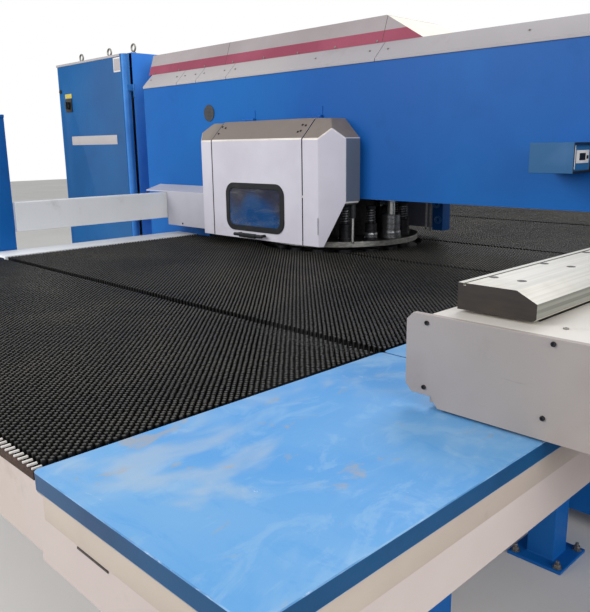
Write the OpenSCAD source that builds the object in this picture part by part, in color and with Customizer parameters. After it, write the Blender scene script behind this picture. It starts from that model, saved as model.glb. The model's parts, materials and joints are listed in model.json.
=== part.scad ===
// Turret punch press: closed frame, turret under a lift-up cover, brush tables,
// clamping carriage and control cabinet.
// X runs along the frame with the cabinet at -X, the operator stands at -Y, the floor is Z = 0.

/* [Frame] */
// Height of the sheet plane above the floor
table_z = 950; // [900:10:1000]
// Length of the closed frame
frame_l = 4575; // [4500:25:4900]
// Depth of the closed frame
frame_d = 600; // [580:10:620]
// Height of the underside of the frame above the floor
frame_base = 60; // [40:5:100]
// Height of the upper beam
beam_h = 604; // [560:4:700]
// Throat opening above the sheet plane
throat_above = 255; // [255:5:300]
// Throat opening below the sheet plane
throat_below = 110; // [108:1:120]
// Width of the column beside the cabinet
left_column_w = 600; // [540:10:620]
// Width of the column at the carriage end
right_column_w = 445; // [380:5:460]
// Thickness of the frame plates
plate_t = 40; // [30:2:50]
// Levelling foot radius
foot_r = 70; // [50:5:90]

/* [Top covers] */
// Thickness of folded sheet covers
sheet_t = 3; // [2:0.5:4]
// Height of the upright lip of the beam cover
trim_lip = 12; // [8:1:20]
// Rise of the sloped part of the beam cover
trim_rise = 73; // [60:1:80]
// Height of the roof hood
hood_roof_h = 119; // [110:1:140]
// Inward lean of the roof hood sides
hood_roof_lean = 41; // [20:1:60]
// Length of the roof hood at its foot
hood_roof_l = 2049; // [1900:1:2100]
// Length of the sloped end of the roof hood
hood_roof_hip = 222; // [150:1:260]

/* [Turret] */
// Distance of the turret axis from the cabinet end of the frame
turret_off = 1355; // [1330:5:1380]
// Radius of the turret discs
turret_r = 400; // [394:1:410]
// Thickness of the upper turret disc
turret_t = 27; // [22:1:30]
// Space between the sheet plane and the upper turret
turret_gap = 18; // [14:1:22]
// Thickness of the lower turret disc
lower_turret_t = 58; // [50:1:64]
// Radius of the circle of stations
pitch_r = 330; // [320:1:340]
// Number of stations
stations = 16; // [12:4:16]
// Radius of a small punch guide
guide_r = 30; // [26:1:34]
// Radius of a large punch guide
large_guide_r = 46; // [40:1:50]
// Height of a small punch guide above the disc
guide_h = 80; // [70:1:90]
// Radius of a punch stem
stem_r = 14; // [12:1:16]
// Height of the punch heads above the sheet plane
head_top = 208; // [200:1:210]
// Height of the working punch head above the other heads
working_rise = 34; // [34:1:40]
// Thickness of a punch head
head_t = 16; // [12:1:20]
// Radius of the turret shafts
shaft_r = 60; // [50:1:70]
// Radius of a die
die_r = 34; // [30:1:38]
// Radius of the ram
ram_r = 48; // [40:1:52]
// Free way of the ram above a punch head
ram_gap = 8; // [6:0.5:10]

/* [Turret cover] */
// Length of the turret cover
cover_l = 1025; // [1000:5:1050]
// How far the cover reaches past the turret axis at the carriage side
cover_past = 380; // [370:1:390]
// Depth of the cover in front of the frame
cover_d = 185; // [175:1:200]
// Height of the lower edge of the cover above the sheet plane
cover_low = 43; // [30:1:60]
// Height of the cover
cover_h = 573; // [550:1:600]
// Size of the chamfers of the cover
cover_chamfer = 90; // [60:1:100]
// Width of the cover door
door_w = 658; // [600:2:680]
// Distance of the door from the left end of the cover
door_off = 182; // [150:1:200]
// Gap around a door
door_gap = 4; // [2:0.5:6]
// How far the door stands proud of the side covers
door_proud = 4; // [2:0.5:6]
// Width of the window
window_w = 400; // [360:2:440]
// Height of the window
window_h = 211; // [180:1:230]
// Height of the lower edge of the window above the door edge
window_low = 52; // [48:1:60]
// Corner radius of the window
window_r = 45; // [30:1:55]
// Width of the window rubber on the face
rubber_w = 27; // [20:1:32]
// Length of the door handle
handle_l = 210; // [160:2:240]

/* [Tables] */
// Half width of the tables across the frame
table_half = 2364; // [2300:2:2500]
// Distance of the table seam from the frame axis
seam_y = 1470; // [1440:5:1500]
// Seam between two table sections
seam_gap = 6; // [4:1:10]
// Distance of the brush edge from the turret axis towards the cabinet
brush_left = 850; // [840:5:870]
// Distance of the brush edge from the turret axis towards the carriage
brush_right = 1445; // [1400:5:1460]
// Length of the blue end plates
end_plate_l = 535; // [500:5:560]
// Depth of the lip of an end plate
end_lip = 32; // [24:1:40]
// Depth of the table skirts below the sheet plane
skirt_h = 150; // [130:1:180]
// Pitch of the brush rows
brush_pitch = 17.5; // [16:0.5:24]
// Width of a brush row
brush_w = 8; // [6:0.5:10]
// Free height of the brushes
brush_h = 24; // [20:1:28]
// Thickness of the brush board
board_t = 14; // [10:1:16]
// Width of a table leg
leg_w = 100; // [80:5:130]

/* [Guard] */
// Height of the guard beam
guard_h = 147; // [120:1:160]
// Height of the guard beam above the sheet plane
guard_low = 91; // [80:1:100]
// Width of the guard beam
guard_w = 60; // [50:1:80]
// Height of the guard post
post_h = 1600; // [1500:10:1700]

/* [Carriage] */
// Length of the carriage beam along the frame
carriage_l = 950; // [900:5:965]
// Half width of the carriage beam across the frame
carriage_half = 1700; // [1650:5:1750]
// Clearance of the carriage beam above the sheet plane
carriage_low = 10; // [8:1:14]
// Height of the carriage beam
carriage_h = 176; // [170:1:180]
// Wall of the carriage beam
carriage_t = 12; // [8:1:16]
// Space between the parked carriage and the end of the throat
carriage_park = 82; // [60:2:90]
// Distance of the clamp tips from the punching axis at the end of the travel
tip_stop = 140; // [140:5:300]
// Width of the clamp rail
rail_w = 160; // [150:1:165]
// Height of the clamp rail
rail_h = 52; // [45:1:52]
// Length of the clamp rail
rail_l = 2500; // [2400:10:2600]
// Distance of the rail's middle from the frame axis at rest
rail_rest = 405; // [380:5:420]
// Running gap under the clamp rail
rail_gap = 6; // [4:0.5:6]
// Width of a guide bar
guide_bar_w = 24; // [20:1:28]
// Height of a guide bar
guide_bar_h = 25; // [22:1:28]
// Radius of a screw
screw_r = 14; // [10:1:16]
// Radius of a servo motor
motor_r = 60; // [50:1:62]
// Width of a sheet clamp
clamp_w = 110; // [80:2:140]
// Length of a clamp jaw in front of the carriage
jaw_l = 80; // [70:1:90]

/* [Cabinet] */
// Width of the cabinet
cabinet_w = 905; // [850:5:950]
// Height of the cabinet
cabinet_h = 2034; // [1950:2:2100]
// Depth of the cabinet behind its door
cabinet_d = 440; // [380:5:500]
// Space between cabinet and frame
cabinet_gap = 210; // [180:5:240]
// Thickness of the cabinet door
cabinet_door_t = 57; // [45:1:70]
// Radius of the upright edges of the cabinet door
cabinet_edge_r = 30; // [20:1:40]
// Radius of a lifting eye
eye_r = 22; // [18:1:26]
// Radius of the main switch knob
switch_r = 26; // [20:1:32]

/* [Display] */
// Length of the display box
display_l = 157; // [140:1:180]
// Height of the display box
display_h = 102; // [90:1:120]
// Depth of the display box in front of the frame
display_d = 180; // [150:1:200]

/* [Hidden] */
$fn = 48;
cut = 1;              // how far a cutting shape runs past a face
fit = 0.1;            // gap of a seated piece
run = 0.05;           // radial running gap of a shaft
slide = 0.3;          // gap of a sliding face

// Frame places
overall_l = cabinet_w + cabinet_gap + frame_l;
cabinet_x = -overall_l / 2;
frame_x0 = cabinet_x + cabinet_w + cabinet_gap;
frame_x1 = overall_l / 2;
face_y = frame_d / 2;
throat_x0 = frame_x0 + left_column_w;
throat_x1 = frame_x1 - right_column_w;
throat_z0 = table_z - throat_below;
throat_z1 = table_z + throat_above;
frame_top = throat_z1 + beam_h;
foot_stem_r = 25;
foot_pad_h = 20;
foot_inset = 150;

// Top cover places
trim_over = 2;
corner_share = tan(22.5);      // how far a 45 degree fold moves per wall
trim_top = frame_top + trim_rise;
trim_y = face_y + trim_over + sheet_t - trim_rise;
trim_panels = [0, 0.077, 0.117, 0.175, 0.397, 0.7, 1];
panel_gap = 3;
roof_over = 35;
roof_x0 = frame_x0 - roof_over;
roof_x1 = roof_x0 + hood_roof_l;
roof_y = trim_y;
roof_opening_margin = 60;

// Turret places
turret_x = frame_x0 + turret_off;
punch_x = turret_x + pitch_r;
turret_z = table_z + turret_gap;
turret_top = turret_z + turret_t;
hub_r = 180;
hub_gap = 15;
hub_top = throat_z1 - hub_gap;
bearing_r = 110;
head_z = table_z + head_top;
guide_top = turret_top + guide_h;
guide_foot = 4;
large_guide_rise = 35;
large_every = 4;
punch_tip_r = 10;
tip_l = 34;
working_stem_r = 20;
working_head_z = head_z + working_rise;
ram_z = working_head_z + ram_gap;
die_hole_r = 11;
die_h = 34;
slug_r = 14;
lower_drop = 20;
lower_top = table_z - lower_drop;
lower_z = lower_top - lower_turret_t;
lower_shaft_l = 380;
lower_shaft_z = throat_z0 - lower_shaft_l;
lower_hub_r = 120;
ram_l = 400;
barrel_r = 105;
barrel_flange_r = 140;
barrel_flange_t = 30;
barrel_wall_top = 40;
spring_turns = 6;
spring_dip = 5;
head_in = 5;
spring_in = 3;
spring_out = 1;
tip_low = 2;
lower_hub_gap = 5;
guide_flange = 6;
guide_flange_t = 10;
striker_r = 36;
striker_h = 14;
lower_motor_h = 200;
lower_reducer_r = 90;
barrel_z = throat_z1 + plate_t;
barrel_spare = 80;
barrel_top = ram_z + ram_l + barrel_spare;
manifold_w = 160;
manifold_h = 60;
die_drop = 0.5;
die_z = table_z - die_drop - die_h;
drive_box = 260;
drive_box_h = 60;
drive_motor_r = 75;
drive_motor_h = 115;
lower_motor_r = 120;
function station_angle(i) = i * 360 / stations;
function is_large(i) = i % large_every == 0;
function guide_radius(i) = is_large(i) ? large_guide_r : guide_r;
function guide_z(i) = guide_top + (is_large(i) ? large_guide_rise : 0);
function stem_radius(i) = is_large(i) ? working_stem_r : stem_r;
function head_radius(i) = guide_radius(i) - head_in;

// Display and plug places
display_off = 1291;
display_x = turret_x + display_off;
display_up = 139;
display_z = throat_z1 + display_up;
display_recess = 20;
display_rim = 8;
plug_r = 45;
plug_t = 4;
plug_off = 712;
plug_x = turret_x - plug_off;
plug_up = 423;
plug_z = throat_z1 + plug_up;
holder_off = 415;
holder_x = turret_x + holder_off;
holder_y0 = 235;
holder_low = 190;
holder_w = 60;
rail_bevel_w = 40;
rail_bevel_h = 20;
groove_off = 12;
groove_t = 5;
post_cap_out = 6;
post_cap_t = 14;

// Turret cover places
cover_x1 = turret_x + cover_past;
cover_x0 = cover_x1 - cover_l;
cover_y = face_y + cover_d;
cover_z0 = table_z + cover_low;
cover_z1 = cover_z0 + cover_h;
door_x0 = cover_x0 + door_off;
door_x1 = door_x0 + door_w;
door_face_y = cover_y + door_proud;
window_off = 324;
window_x = door_x0 + window_off;
window_z = cover_z0 + window_low + window_h / 2;
rubber_t = 6;
glass_t = 5;
handle_off = 15;
handle_x = window_x - handle_off;
handle_low = 23;
handle_z = cover_z0 + handle_low;
handle_r = 8;
handle_post_r = 7;
handle_out = 34;
hinge_pin_r = 4;
hinge_barrel_r = 8;
hinge_back_gap = 2;
hinge_y = face_y + hinge_barrel_r + hinge_back_gap;
hinge_lift = 0.5;
hinge_z = cover_z1 + door_proud + hinge_barrel_r + hinge_lift;
hinge_leaf_l = 60;
hinge_bracket_h = 40;
door_back_gap = 2;
chamfer_share = 2 - sqrt(2);   // how much a 45 degree chamfer narrows per wall
hinge_w = 90;
hinge_leaf_t = 3;
hinge_inset = 90;
side_step_drop = 10;
side_step_z = throat_z1 - side_step_drop;
side_step_low = 18;

// Carriage places
carriage_x1 = throat_x1 - carriage_park;
carriage_x0 = carriage_x1 - carriage_l;
end_plate_over = 50;
clamp_gap = 5;
clamp_x1 = carriage_x0 - clamp_gap;
carriage_travel = clamp_x1 - jaw_l - punch_x - tip_stop;
carriage_z0 = table_z + carriage_low;
carriage_top = carriage_z0 + carriage_h;
rail_in = 25;
rail_x0 = carriage_x0 + rail_in;
rail_x1 = rail_x0 + rail_w;
rail_z0 = carriage_top + rail_gap;
rail_z1 = rail_z0 + rail_h;
rail_cx = (rail_x0 + rail_x1) / 2;
bar_off = 45;
bar_up = 100;
bar_z0 = carriage_z0 + bar_up;
bar_top = bar_z0 + guide_bar_h;
bed_side = 6;
bed_w = guide_bar_w + 2 * bed_side;
block_side = 8;
block_w = guide_bar_w + 2 * block_side;
slot_gap = 5;
slot_w = 2 * (bar_off + block_w / 2 + slot_gap);
block_lift = 3;
block_l = 120;
block_off = 300;
slot_end = 80;
screw_up = 72;
screw_z = carriage_z0 + screw_up;
nut_l = 160;
nut_w = 44;
screw_half = 1500;
screw_block_l = 40;
end_plate_t = 12;
end_plate_chamfer = 15;
end_plate_low = 5;
tab_w = 60;
tab_rise = 21;
motor_l = 180;
travel_spare = 20;
travel_bar_y = 220;
travel_x1 = throat_x1 - travel_spare;
saddle_l = 200;
saddle_gap = 6;
travel_block_l = 40;
travel_bar_x0 = carriage_x1 - saddle_l - carriage_travel - travel_spare;
saddle_y0 = 140;
saddle_y1 = 300;
travel_screw_drop = 45;
travel_screw_z = table_z - travel_screw_drop;
travel_nut_w = 60;
clamp_body_l = 64;
clamp_offs = [450, 1000];
clamp_places = [for (off = clamp_offs) off - rail_rest];
clamp_plate_gap = 2;
clamp_plate_z = table_z + clamp_plate_gap;
clamp_plate_t = 6;
jaw_t = 22;
jaw_pin_r = 6;
jaw_gap = 1;
jaw_z0 = clamp_plate_z + clamp_plate_t + jaw_gap;
jaw_pin_up = 12;
jaw_pin_z = jaw_z0 + jaw_t + jaw_pin_up;
jaw_back = 19;
jaw_back_rise = 11;
jaw_top = 12;
jaw_nose = 8;
jaw_pocket_top = 60;
jaw_pin_in = 34;
jaw_pin_x = clamp_x1 - jaw_pin_in;
jaw_ear_w = 20;

// Table places
brush_x0 = turret_x - brush_left;
brush_x1 = turret_x + brush_right;
table_x1 = brush_x1 + end_plate_l;
inner_gap = 20;
inner_y = face_y + inner_gap;
centre_start_gap = 12;
centre_x0 = throat_x0 + centre_start_gap;
centre_end_gap = 10;
centre_x1 = travel_bar_x0 - travel_block_l - centre_end_gap;
centre_bed_off = 55;
centre_bed_x = turret_x + turret_r + centre_bed_off;
centre_bed_y = 200;
mat_gap = 1;
end_corner_r = 12;
riser_in = 60;
riser_w = 30;
rim_drop = 8;
spacer_w = 80;
board_z0 = table_z - brush_h - board_t;
top_sheet_t = 6;
top_sheet_z = board_z0 - top_sheet_t;
skirt_t = 4;
skirt_in = 6;
end_skirt_extra = 12;
end_sheet_t = 4;
bearer_w = 80;
bearer_h = 60;
turret_clear = 15;
leg_rows = [560, 1310, 2100];
leg_in = 125;
leg_out = 45;
leg_xs = [brush_x0 + leg_in, brush_x1 + leg_out];
leg_t = 6;
leg_foot_w = 200;
leg_foot_t = 12;
leg_top = top_sheet_z - bearer_h;
end_rail_w = 185;
end_rail_drop = 30;
end_rail_t = 10;
end_rail_in = 15;
end_rail_y = seam_y - end_rail_in;

// Guard places
post_gap = 4;
post_face_x = brush_x0 - end_rail_w - post_gap;
post_l = 288;
post_w = 120;
post_y = 1312;
guard_off = 165;
guard_x1 = brush_x0 - guard_off;
guard_z0 = table_z + guard_low;
guard_t = 4;
step_in = 125;
step_x0 = frame_x0 + step_in;
step_gap = 2;
step_x1 = cover_x0 - step_gap;
notch_gap = 5;
step_notch_x = guard_x1 + notch_gap;
step_low = 51;
step_z0 = table_z + step_low;
step_h = 226;
step_z1 = step_z0 + step_h;
notch_lift = 3;
step_z_notch = guard_z0 + guard_h + notch_lift;
step_d = 105;
step_slope = 30;

// Cabinet places
cabinet_front = face_y;
cabinet_y0 = -cabinet_front + cabinet_door_t + door_gap;
cabinet_y1 = cabinet_y0 + cabinet_d;
cabinet_x1 = cabinet_x + cabinet_w;
cabinet_wall = 4;
plinth_h = 40;
door_top_gap = 8;
cabinet_pin_r = 4;
knuckle_r = 8;
knuckle_h = 40;
cabinet_pin_x = cabinet_x1 + knuckle_r;
cabinet_pin_y = cabinet_y0 - door_gap / 2;
knuckle_zs = [260, 1010, 1800];
eye_wire_r = 6;
eye_foot_r = 16;
eye_foot_h = 8;
eye_sink = 2;
eye_places = [195, 575, 870];
eye_in = 40;
eye_y = cabinet_y0 + eye_in;
duct_y = 0;
duct_w = 160;
duct_h = 200;
duct_up = 250;
duct_z = throat_z1 + duct_up;
switch_in = 153;
switch_x = cabinet_x + switch_in;
switch_drop = 291;
switch_z = cabinet_h - switch_drop;
switch_base_w = 90;
switch_base_t = 6;
switch_out = 24;
switch_grip_w = 12;
plate_in = 60;
module_in = 100;
drives = 4;
drive_share = 0.8;
drive_d = 200;
drive_z = 1300;
drive_h = 400;
contactor_d = 90;
contactor_z = 950;
contactor_h = 110;
transformer_d = 250;
transformer_z = 260;
transformer_w = 340;

// Shared shapes
module block(lo, hi) {
    translate(lo) cube(hi - lo);
}
module rod_z(r, z0, z1) {
    translate([0, 0, z0]) cylinder(r = r, h = z1 - z0);
}
module rod_x(r, x0, x1) {
    translate([x0, 0, 0]) rotate([0, 90, 0]) cylinder(r = r, h = x1 - x0);
}
module rod_y(r, y0, y1) {
    translate([0, y1, 0]) rotate([90, 0, 0]) cylinder(r = r, h = y1 - y0);
}
module along_x(x0, x1) {
    translate([x0, 0, 0]) rotate([90, 0, 90]) linear_extrude(x1 - x0) children();
}
module along_y(y0, y1) {
    translate([0, y1, 0]) rotate([90, 0, 0]) linear_extrude(y1 - y0) children();
}
module rounded_rect(w, h, r) {
    square([w - 2 * r, h], center = true);
    square([w, h - 2 * r], center = true);
    for (x = [-1, 1], y = [-1, 1]) translate([x * (w / 2 - r), y * (h / 2 - r)]) circle(r);
}
module rounded_block(lo, hi, r) {
    translate([(lo.x + hi.x) / 2, (lo.y + hi.y) / 2, lo.z])
        linear_extrude(hi.z - lo.z) rounded_rect(hi.x - lo.x, hi.y - lo.y, r);
}
module at_turret() {
    translate([turret_x, 0, 0]) children();
}
module at_station(i) {
    at_turret() rotate([0, 0, station_angle(i)]) translate([pitch_r, 0, 0]) children();
}

// Frame
module o_frame() color("royalblue") {
    frame_weldment();
    block([holder_x, holder_y0, throat_z1 - holder_low], [holder_x + holder_w, face_y, throat_z1 + cut]);
}
module frame_weldment() difference() {
    block([frame_x0, -face_y, frame_base], [frame_x1, face_y, frame_top]);
    block([throat_x0, -face_y - cut, throat_z0], [throat_x1, face_y + cut, throat_z1]);
    frame_hollow();
    at_turret() {
        rod_z(bearing_r + fit, throat_z1 - cut, throat_z1 + plate_t + cut);
        rod_z(shaft_r + slide, frame_top - plate_t - cut, frame_top + cut);
        rod_z(bearing_r + fit, throat_z0 - plate_t - cut, throat_z0 + cut);
    }
    translate([punch_x, 0, 0]) rod_z(ram_r + slide, throat_z1 - cut, throat_z1 + plate_t + cut);
    translate([0, 0, travel_screw_z]) rod_x(screw_r + slide, throat_x1 - cut, throat_x1 + plate_t + cut);
}
module frame_hollow() difference() {
    block([frame_x0 + plate_t, -face_y + plate_t, frame_base + plate_t],
          [frame_x1 - plate_t, face_y - plate_t, frame_top - plate_t]);
    block([throat_x0 - plate_t, -face_y, throat_z0 - plate_t],
          [throat_x1 + plate_t, face_y, throat_z1 + plate_t]);
}
module frame_feet() color("dimgray") {
    for (x = [frame_x0 + foot_inset, (frame_x0 + frame_x1) / 2, frame_x1 - foot_inset],
         y = [-face_y + foot_inset, face_y - foot_inset]) translate([x, y, 0]) {
        rod_z(foot_r, 0, foot_pad_h);
        rod_z(foot_stem_r, foot_pad_h - cut, frame_base);
    }
}
module display_box() color("teal") difference() {
    block([display_x, -face_y - display_d, display_z],
          [display_x + display_l, -face_y, display_z + display_h]);
    block([display_x + display_l - display_recess, -face_y - display_d + display_rim,
          display_z + display_rim],
          [display_x + display_l + cut, -face_y - display_rim, display_z + display_h - display_rim]);
}
module face_plug() color("darkslategray")
    translate([plug_x, 0, plug_z]) rod_y(plug_r, -face_y - plug_t, -face_y);

// Top covers
module beam_cover() color("gainsboro") difference() {
    for (i = [0 : len(trim_panels) - 2]) along_x(panel_x(i) + panel_gap / 2, panel_x(i + 1) - panel_gap / 2)
        difference() {
            trim_profile(0, 0);
            trim_profile(sheet_t, cut);
        }
    block([roof_x0 + roof_opening_margin, -roof_y + roof_opening_margin, frame_top + cut],
          [roof_x1 - hood_roof_hip, roof_y - roof_opening_margin, trim_top + cut]);
}
function panel_x(i) = frame_x0 + trim_panels[i] * frame_l;
module trim_profile(g, open) {
    out = face_y + trim_over + sheet_t - g;
    top = trim_top - g;
    slope_y = trim_y - g * corner_share;
    lip_z = top - (out - slope_y);
    low = frame_top - trim_lip - open;
    polygon([[-out, low], [-out, lip_z], [-slope_y, top], [slope_y, top], [out, lip_z], [out, low]]);
}
module roof_hood() color("silver") difference() {
    roof_form(0, 0);
    roof_form(sheet_t, cut);
}
module roof_form(g, open) difference() {
    along_x(roof_x0 + g, roof_x1) polygon([
        [-roof_y + g, trim_top - open], [-roof_y + hood_roof_lean + g, trim_top + hood_roof_h - g],
        [roof_y - hood_roof_lean - g, trim_top + hood_roof_h - g], [roof_y - g, trim_top - open]]);
    along_y(-roof_y - cut, roof_y + cut) polygon([
        [roof_x1 - g, trim_top - 2 * cut], [roof_x1 - g, trim_top],
        [roof_x1 - hood_roof_hip - g, trim_top + hood_roof_h],
        [roof_x1 - hood_roof_hip - g, trim_top + 2 * hood_roof_h],
        [roof_x1 + cut, trim_top + 2 * hood_roof_h], [roof_x1 + cut, trim_top - 2 * cut]]);
}

// Turret
module upper_turret() color("silver") at_turret() difference() {
    union() {
        rod_z(turret_r, turret_z, turret_top);
        rod_z(hub_r, turret_top - cut, hub_top);
        rod_z(shaft_r, hub_top - cut, frame_top);
    }
    for (i = [0 : stations - 1]) rotate([0, 0, station_angle(i)]) translate([pitch_r, 0, 0])
        rod_z(guide_radius(i) + fit, turret_z - cut, turret_top + cut);
}
module lower_turret() color("silver") at_turret() difference() {
    union() {
        rod_z(turret_r, lower_z, lower_top);
        rod_z(lower_hub_r, throat_z0 + lower_hub_gap, lower_z + cut);
        rod_z(shaft_r, lower_shaft_z, lower_z);
    }
    for (i = [0 : stations - 1]) rotate([0, 0, station_angle(i)]) translate([pitch_r, 0, 0]) {
        rod_z(die_r + fit, die_z, lower_top + cut);
        rod_z(slug_r, lower_z - cut, lower_top);
    }
}
module turret_bearings() color("dimgray") at_turret() {
    bearing(throat_z1);
    bearing(throat_z0 - plate_t);
}
module bearing(z) difference() {
    rod_z(bearing_r, z, z + plate_t);
    rod_z(shaft_r + run, z - cut, z + plate_t + cut);
}
module punch_guides() color("dimgray") for (i = [0 : stations - 1]) at_station(i) difference() {
    union() {
        rod_z(guide_radius(i), turret_z - guide_foot, guide_z(i));
        rod_z(guide_radius(i) + guide_flange, turret_top, turret_top + guide_flange_t);
    }
    rod_z(stem_radius(i) + (i == 0 ? run : fit), turret_z - guide_foot - cut, guide_z(i) + cut);
}
module punches() color("gray") for (i = [1 : stations - 1]) at_station(i) {
    rod_z(stem_radius(i), turret_z, head_z - head_t + cut);
    rod_z(head_radius(i), head_z - head_t, head_z);
}
module punch_springs() color("silver") for (i = [1 : stations - 1]) at_station(i)
    spring(stem_radius(i) + spring_in, head_radius(i) - spring_out, guide_z(i), head_z - head_t);
module spring(inner, outer, z0, z1) {
    rise = (z1 - z0) / (2 * spring_turns);
    translate([0, 0, z0]) rotate_extrude() polygon(concat(
        [[inner, 0]],
        [for (k = [0 : 2 * spring_turns]) [k % 2 == 0 ? outer - spring_dip : outer, k * rise]],
        [[inner, z1 - z0]]));
}
module working_punch() color("silver") at_station(0) {
    rod_z(punch_tip_r, turret_z - tip_low, turret_z + tip_l);
    rod_z(working_stem_r, turret_z + tip_l - cut, working_head_z - head_t + cut);
    rod_z(head_radius(0), working_head_z - head_t, working_head_z);
}
module dies() color("dimgray") for (i = [0 : stations - 1]) at_station(i) difference() {
    rod_z(die_r, die_z, die_z + die_h);
    rod_z(die_hole_r, die_z - cut, die_z + die_h + cut);
}
module turret_drives() color("dimgray") at_turret() {
    block([-drive_box / 2, -drive_box / 2, frame_top],
          [drive_box / 2, drive_box / 2, frame_top + drive_box_h]);
    rod_z(drive_motor_r, frame_top + drive_box_h - cut, frame_top + drive_box_h + drive_motor_h);
    block([-lower_motor_r, -lower_motor_r, frame_base + plate_t],
          [lower_motor_r, lower_motor_r, frame_base + plate_t + lower_motor_h]);
    rod_z(lower_reducer_r, frame_base + plate_t + lower_motor_h - cut, lower_shaft_z);
}
module ram_cylinder() color("slategray") translate([punch_x, 0, 0]) difference() {
    union() {
        rod_z(barrel_flange_r, barrel_z, barrel_z + barrel_flange_t);
        rod_z(barrel_r, barrel_z, barrel_top);
        block([-barrel_r, -manifold_w / 2, barrel_top - cut],
              [barrel_r, manifold_w / 2, barrel_top + manifold_h]);
    }
    rod_z(ram_r + run, barrel_z - cut, barrel_top - barrel_wall_top);
}
module ram() color("silver") translate([punch_x, 0, 0]) {
    rod_z(striker_r, ram_z, ram_z + striker_h);
    rod_z(ram_r, ram_z + striker_h - cut, ram_z + ram_l);
}

// Turret cover
module cover_form(g, open) {
    c = cover_chamfer - g * chamfer_share;
    x0 = cover_x0 + g;
    x1 = cover_x1 - g;
    yf = -cover_y + g;
    yb = -face_y + open;
    z0 = cover_z0 - open;
    z1 = cover_z1 - g;
    intersection() {
        translate([0, 0, z0]) linear_extrude(z1 - z0) polygon([
            [x0, yb], [x0, yf + c], [x0 + c, yf], [x1 - c, yf], [x1, yf + c], [x1, yb]]);
        along_x(x0, x1) polygon([[yb, z0], [yf, z0], [yf, z1 - c], [yf + c, z1], [yb, z1]]);
        along_y(yf, yb) polygon([[x0, z0], [x0, z1 - c], [x0 + c, z1], [x1 - c, z1], [x1, z1 - c],
            [x1, z0]]);
    }
}
module cover_shell(g) difference() {
    cover_form(g, 0);
    cover_form(g + sheet_t, cut);
}
module side_step() along_x(cover_x0 - cut, cover_x1 + cut) polygon([
    [-cover_y + side_step_low, cover_z0 - cut], [-cover_y + side_step_low, cover_z0],
    [-cover_y + cover_chamfer, side_step_z + sheet_t], [-face_y + cut, side_step_z],
    [-face_y + cut, cover_z0 - cut]]);
module right_cover() color("lavender") difference() {
    intersection() {
        cover_shell(0);
        block([door_x1, -cover_y, cover_z0], [cover_x1, -face_y, cover_z1]);
    }
    intersection() {
        side_step();
        block([cover_x1 - cover_chamfer, -cover_y - cut, cover_z0 - cut],
              [cover_x1 + cut, -face_y + cut, cover_z1]);
    }
}
module left_cover() color("lavender") intersection() {
    cover_shell(0);
    block([cover_x0, -cover_y, cover_z0], [door_x0, -face_y, cover_z1]);
}
module cover_door() color("lavender") difference() {
    intersection() {
        cover_shell(-door_proud);
        block([door_x0 + door_gap, -door_face_y, cover_z0 - cut],
              [door_x1 - door_gap, -face_y - door_back_gap, cover_z1 + door_proud + cut]);
    }
    along_y(-door_face_y - cut, -door_face_y + sheet_t + cut) window_outline(0);
}
module window_outline(grow) translate([window_x, window_z])
    rounded_rect(window_w + 2 * grow, window_h + 2 * grow, window_r + grow);
module window_rubber() color("black") difference() {
    union() {
        along_y(-door_face_y - rubber_t, -door_face_y) window_outline(rubber_w / 2);
        along_y(-door_face_y - cut, -door_face_y + sheet_t + cut) window_outline(-fit);
        along_y(-door_face_y + sheet_t, -door_face_y + sheet_t + rubber_t) window_outline(rubber_w / 2);
    }
    along_y(-door_face_y - rubber_t - cut,
        -door_face_y + sheet_t + rubber_t + cut) window_outline(-rubber_w / 2);
}
module door_window() color("lightblue")
    along_y(-door_face_y - glass_t / 2, -door_face_y + glass_t / 2) window_outline(-rubber_w / 2 - fit);
module door_handle() color("black") {
    translate([0, -door_face_y - handle_out, handle_z])
        rod_x(handle_r, handle_x - handle_l / 2, handle_x + handle_l / 2);
    for (s = [-1, 1]) translate([handle_x + s * (handle_l / 2 - 2 * handle_r), 0, handle_z])
        rod_y(handle_post_r, -door_face_y - handle_out, -door_face_y);
}
module at_hinges() for (x = [door_x0 + hinge_inset, door_x1 - hinge_inset]) translate([x, 0, 0]) children();
module knuckle(x0, x1, r) translate([0, -hinge_y, hinge_z]) rod_x(r, x0, x1);
module hinge_brackets() color("silver") at_hinges() difference() {
    union() {
        knuckle(-hinge_w / 6 + slide, hinge_w / 6 - slide, hinge_barrel_r);
        block([-hinge_w / 6 + slide, -hinge_y, hinge_z],
              [hinge_w / 6 - slide, -face_y, hinge_z + hinge_barrel_r]);
        block([-hinge_w / 2, -face_y - hinge_leaf_t, hinge_z + hinge_barrel_r - hinge_leaf_t],
              [hinge_w / 2, -face_y, hinge_z + hinge_barrel_r + hinge_bracket_h]);
    }
    knuckle(-hinge_w / 2 - cut, hinge_w / 2 + cut, hinge_pin_r + run);
}
module door_hinges() color("silver") at_hinges() {
    knuckle(-hinge_w / 2, hinge_w / 2, hinge_pin_r);
    for (s = [-1, 1]) translate([s * hinge_w / 3, 0, 0]) {
        knuckle(-hinge_w / 6, hinge_w / 6, hinge_barrel_r);
        block([-hinge_w / 6, -hinge_y - hinge_barrel_r - slide, cover_z1 + door_proud],
              [hinge_w / 6, -hinge_y, cover_z1 + door_proud + hinge_leaf_t]);
    }
    block([-hinge_w / 2, -hinge_y - hinge_leaf_l, cover_z1 + door_proud],
          [hinge_w / 2, -hinge_y - hinge_barrel_r - slide, cover_z1 + door_proud + hinge_leaf_t]);
}
module rear_cover() color("lavender") mirror([0, 1, 0]) difference() {
    cover_shell(0);
    side_step();
}

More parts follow.
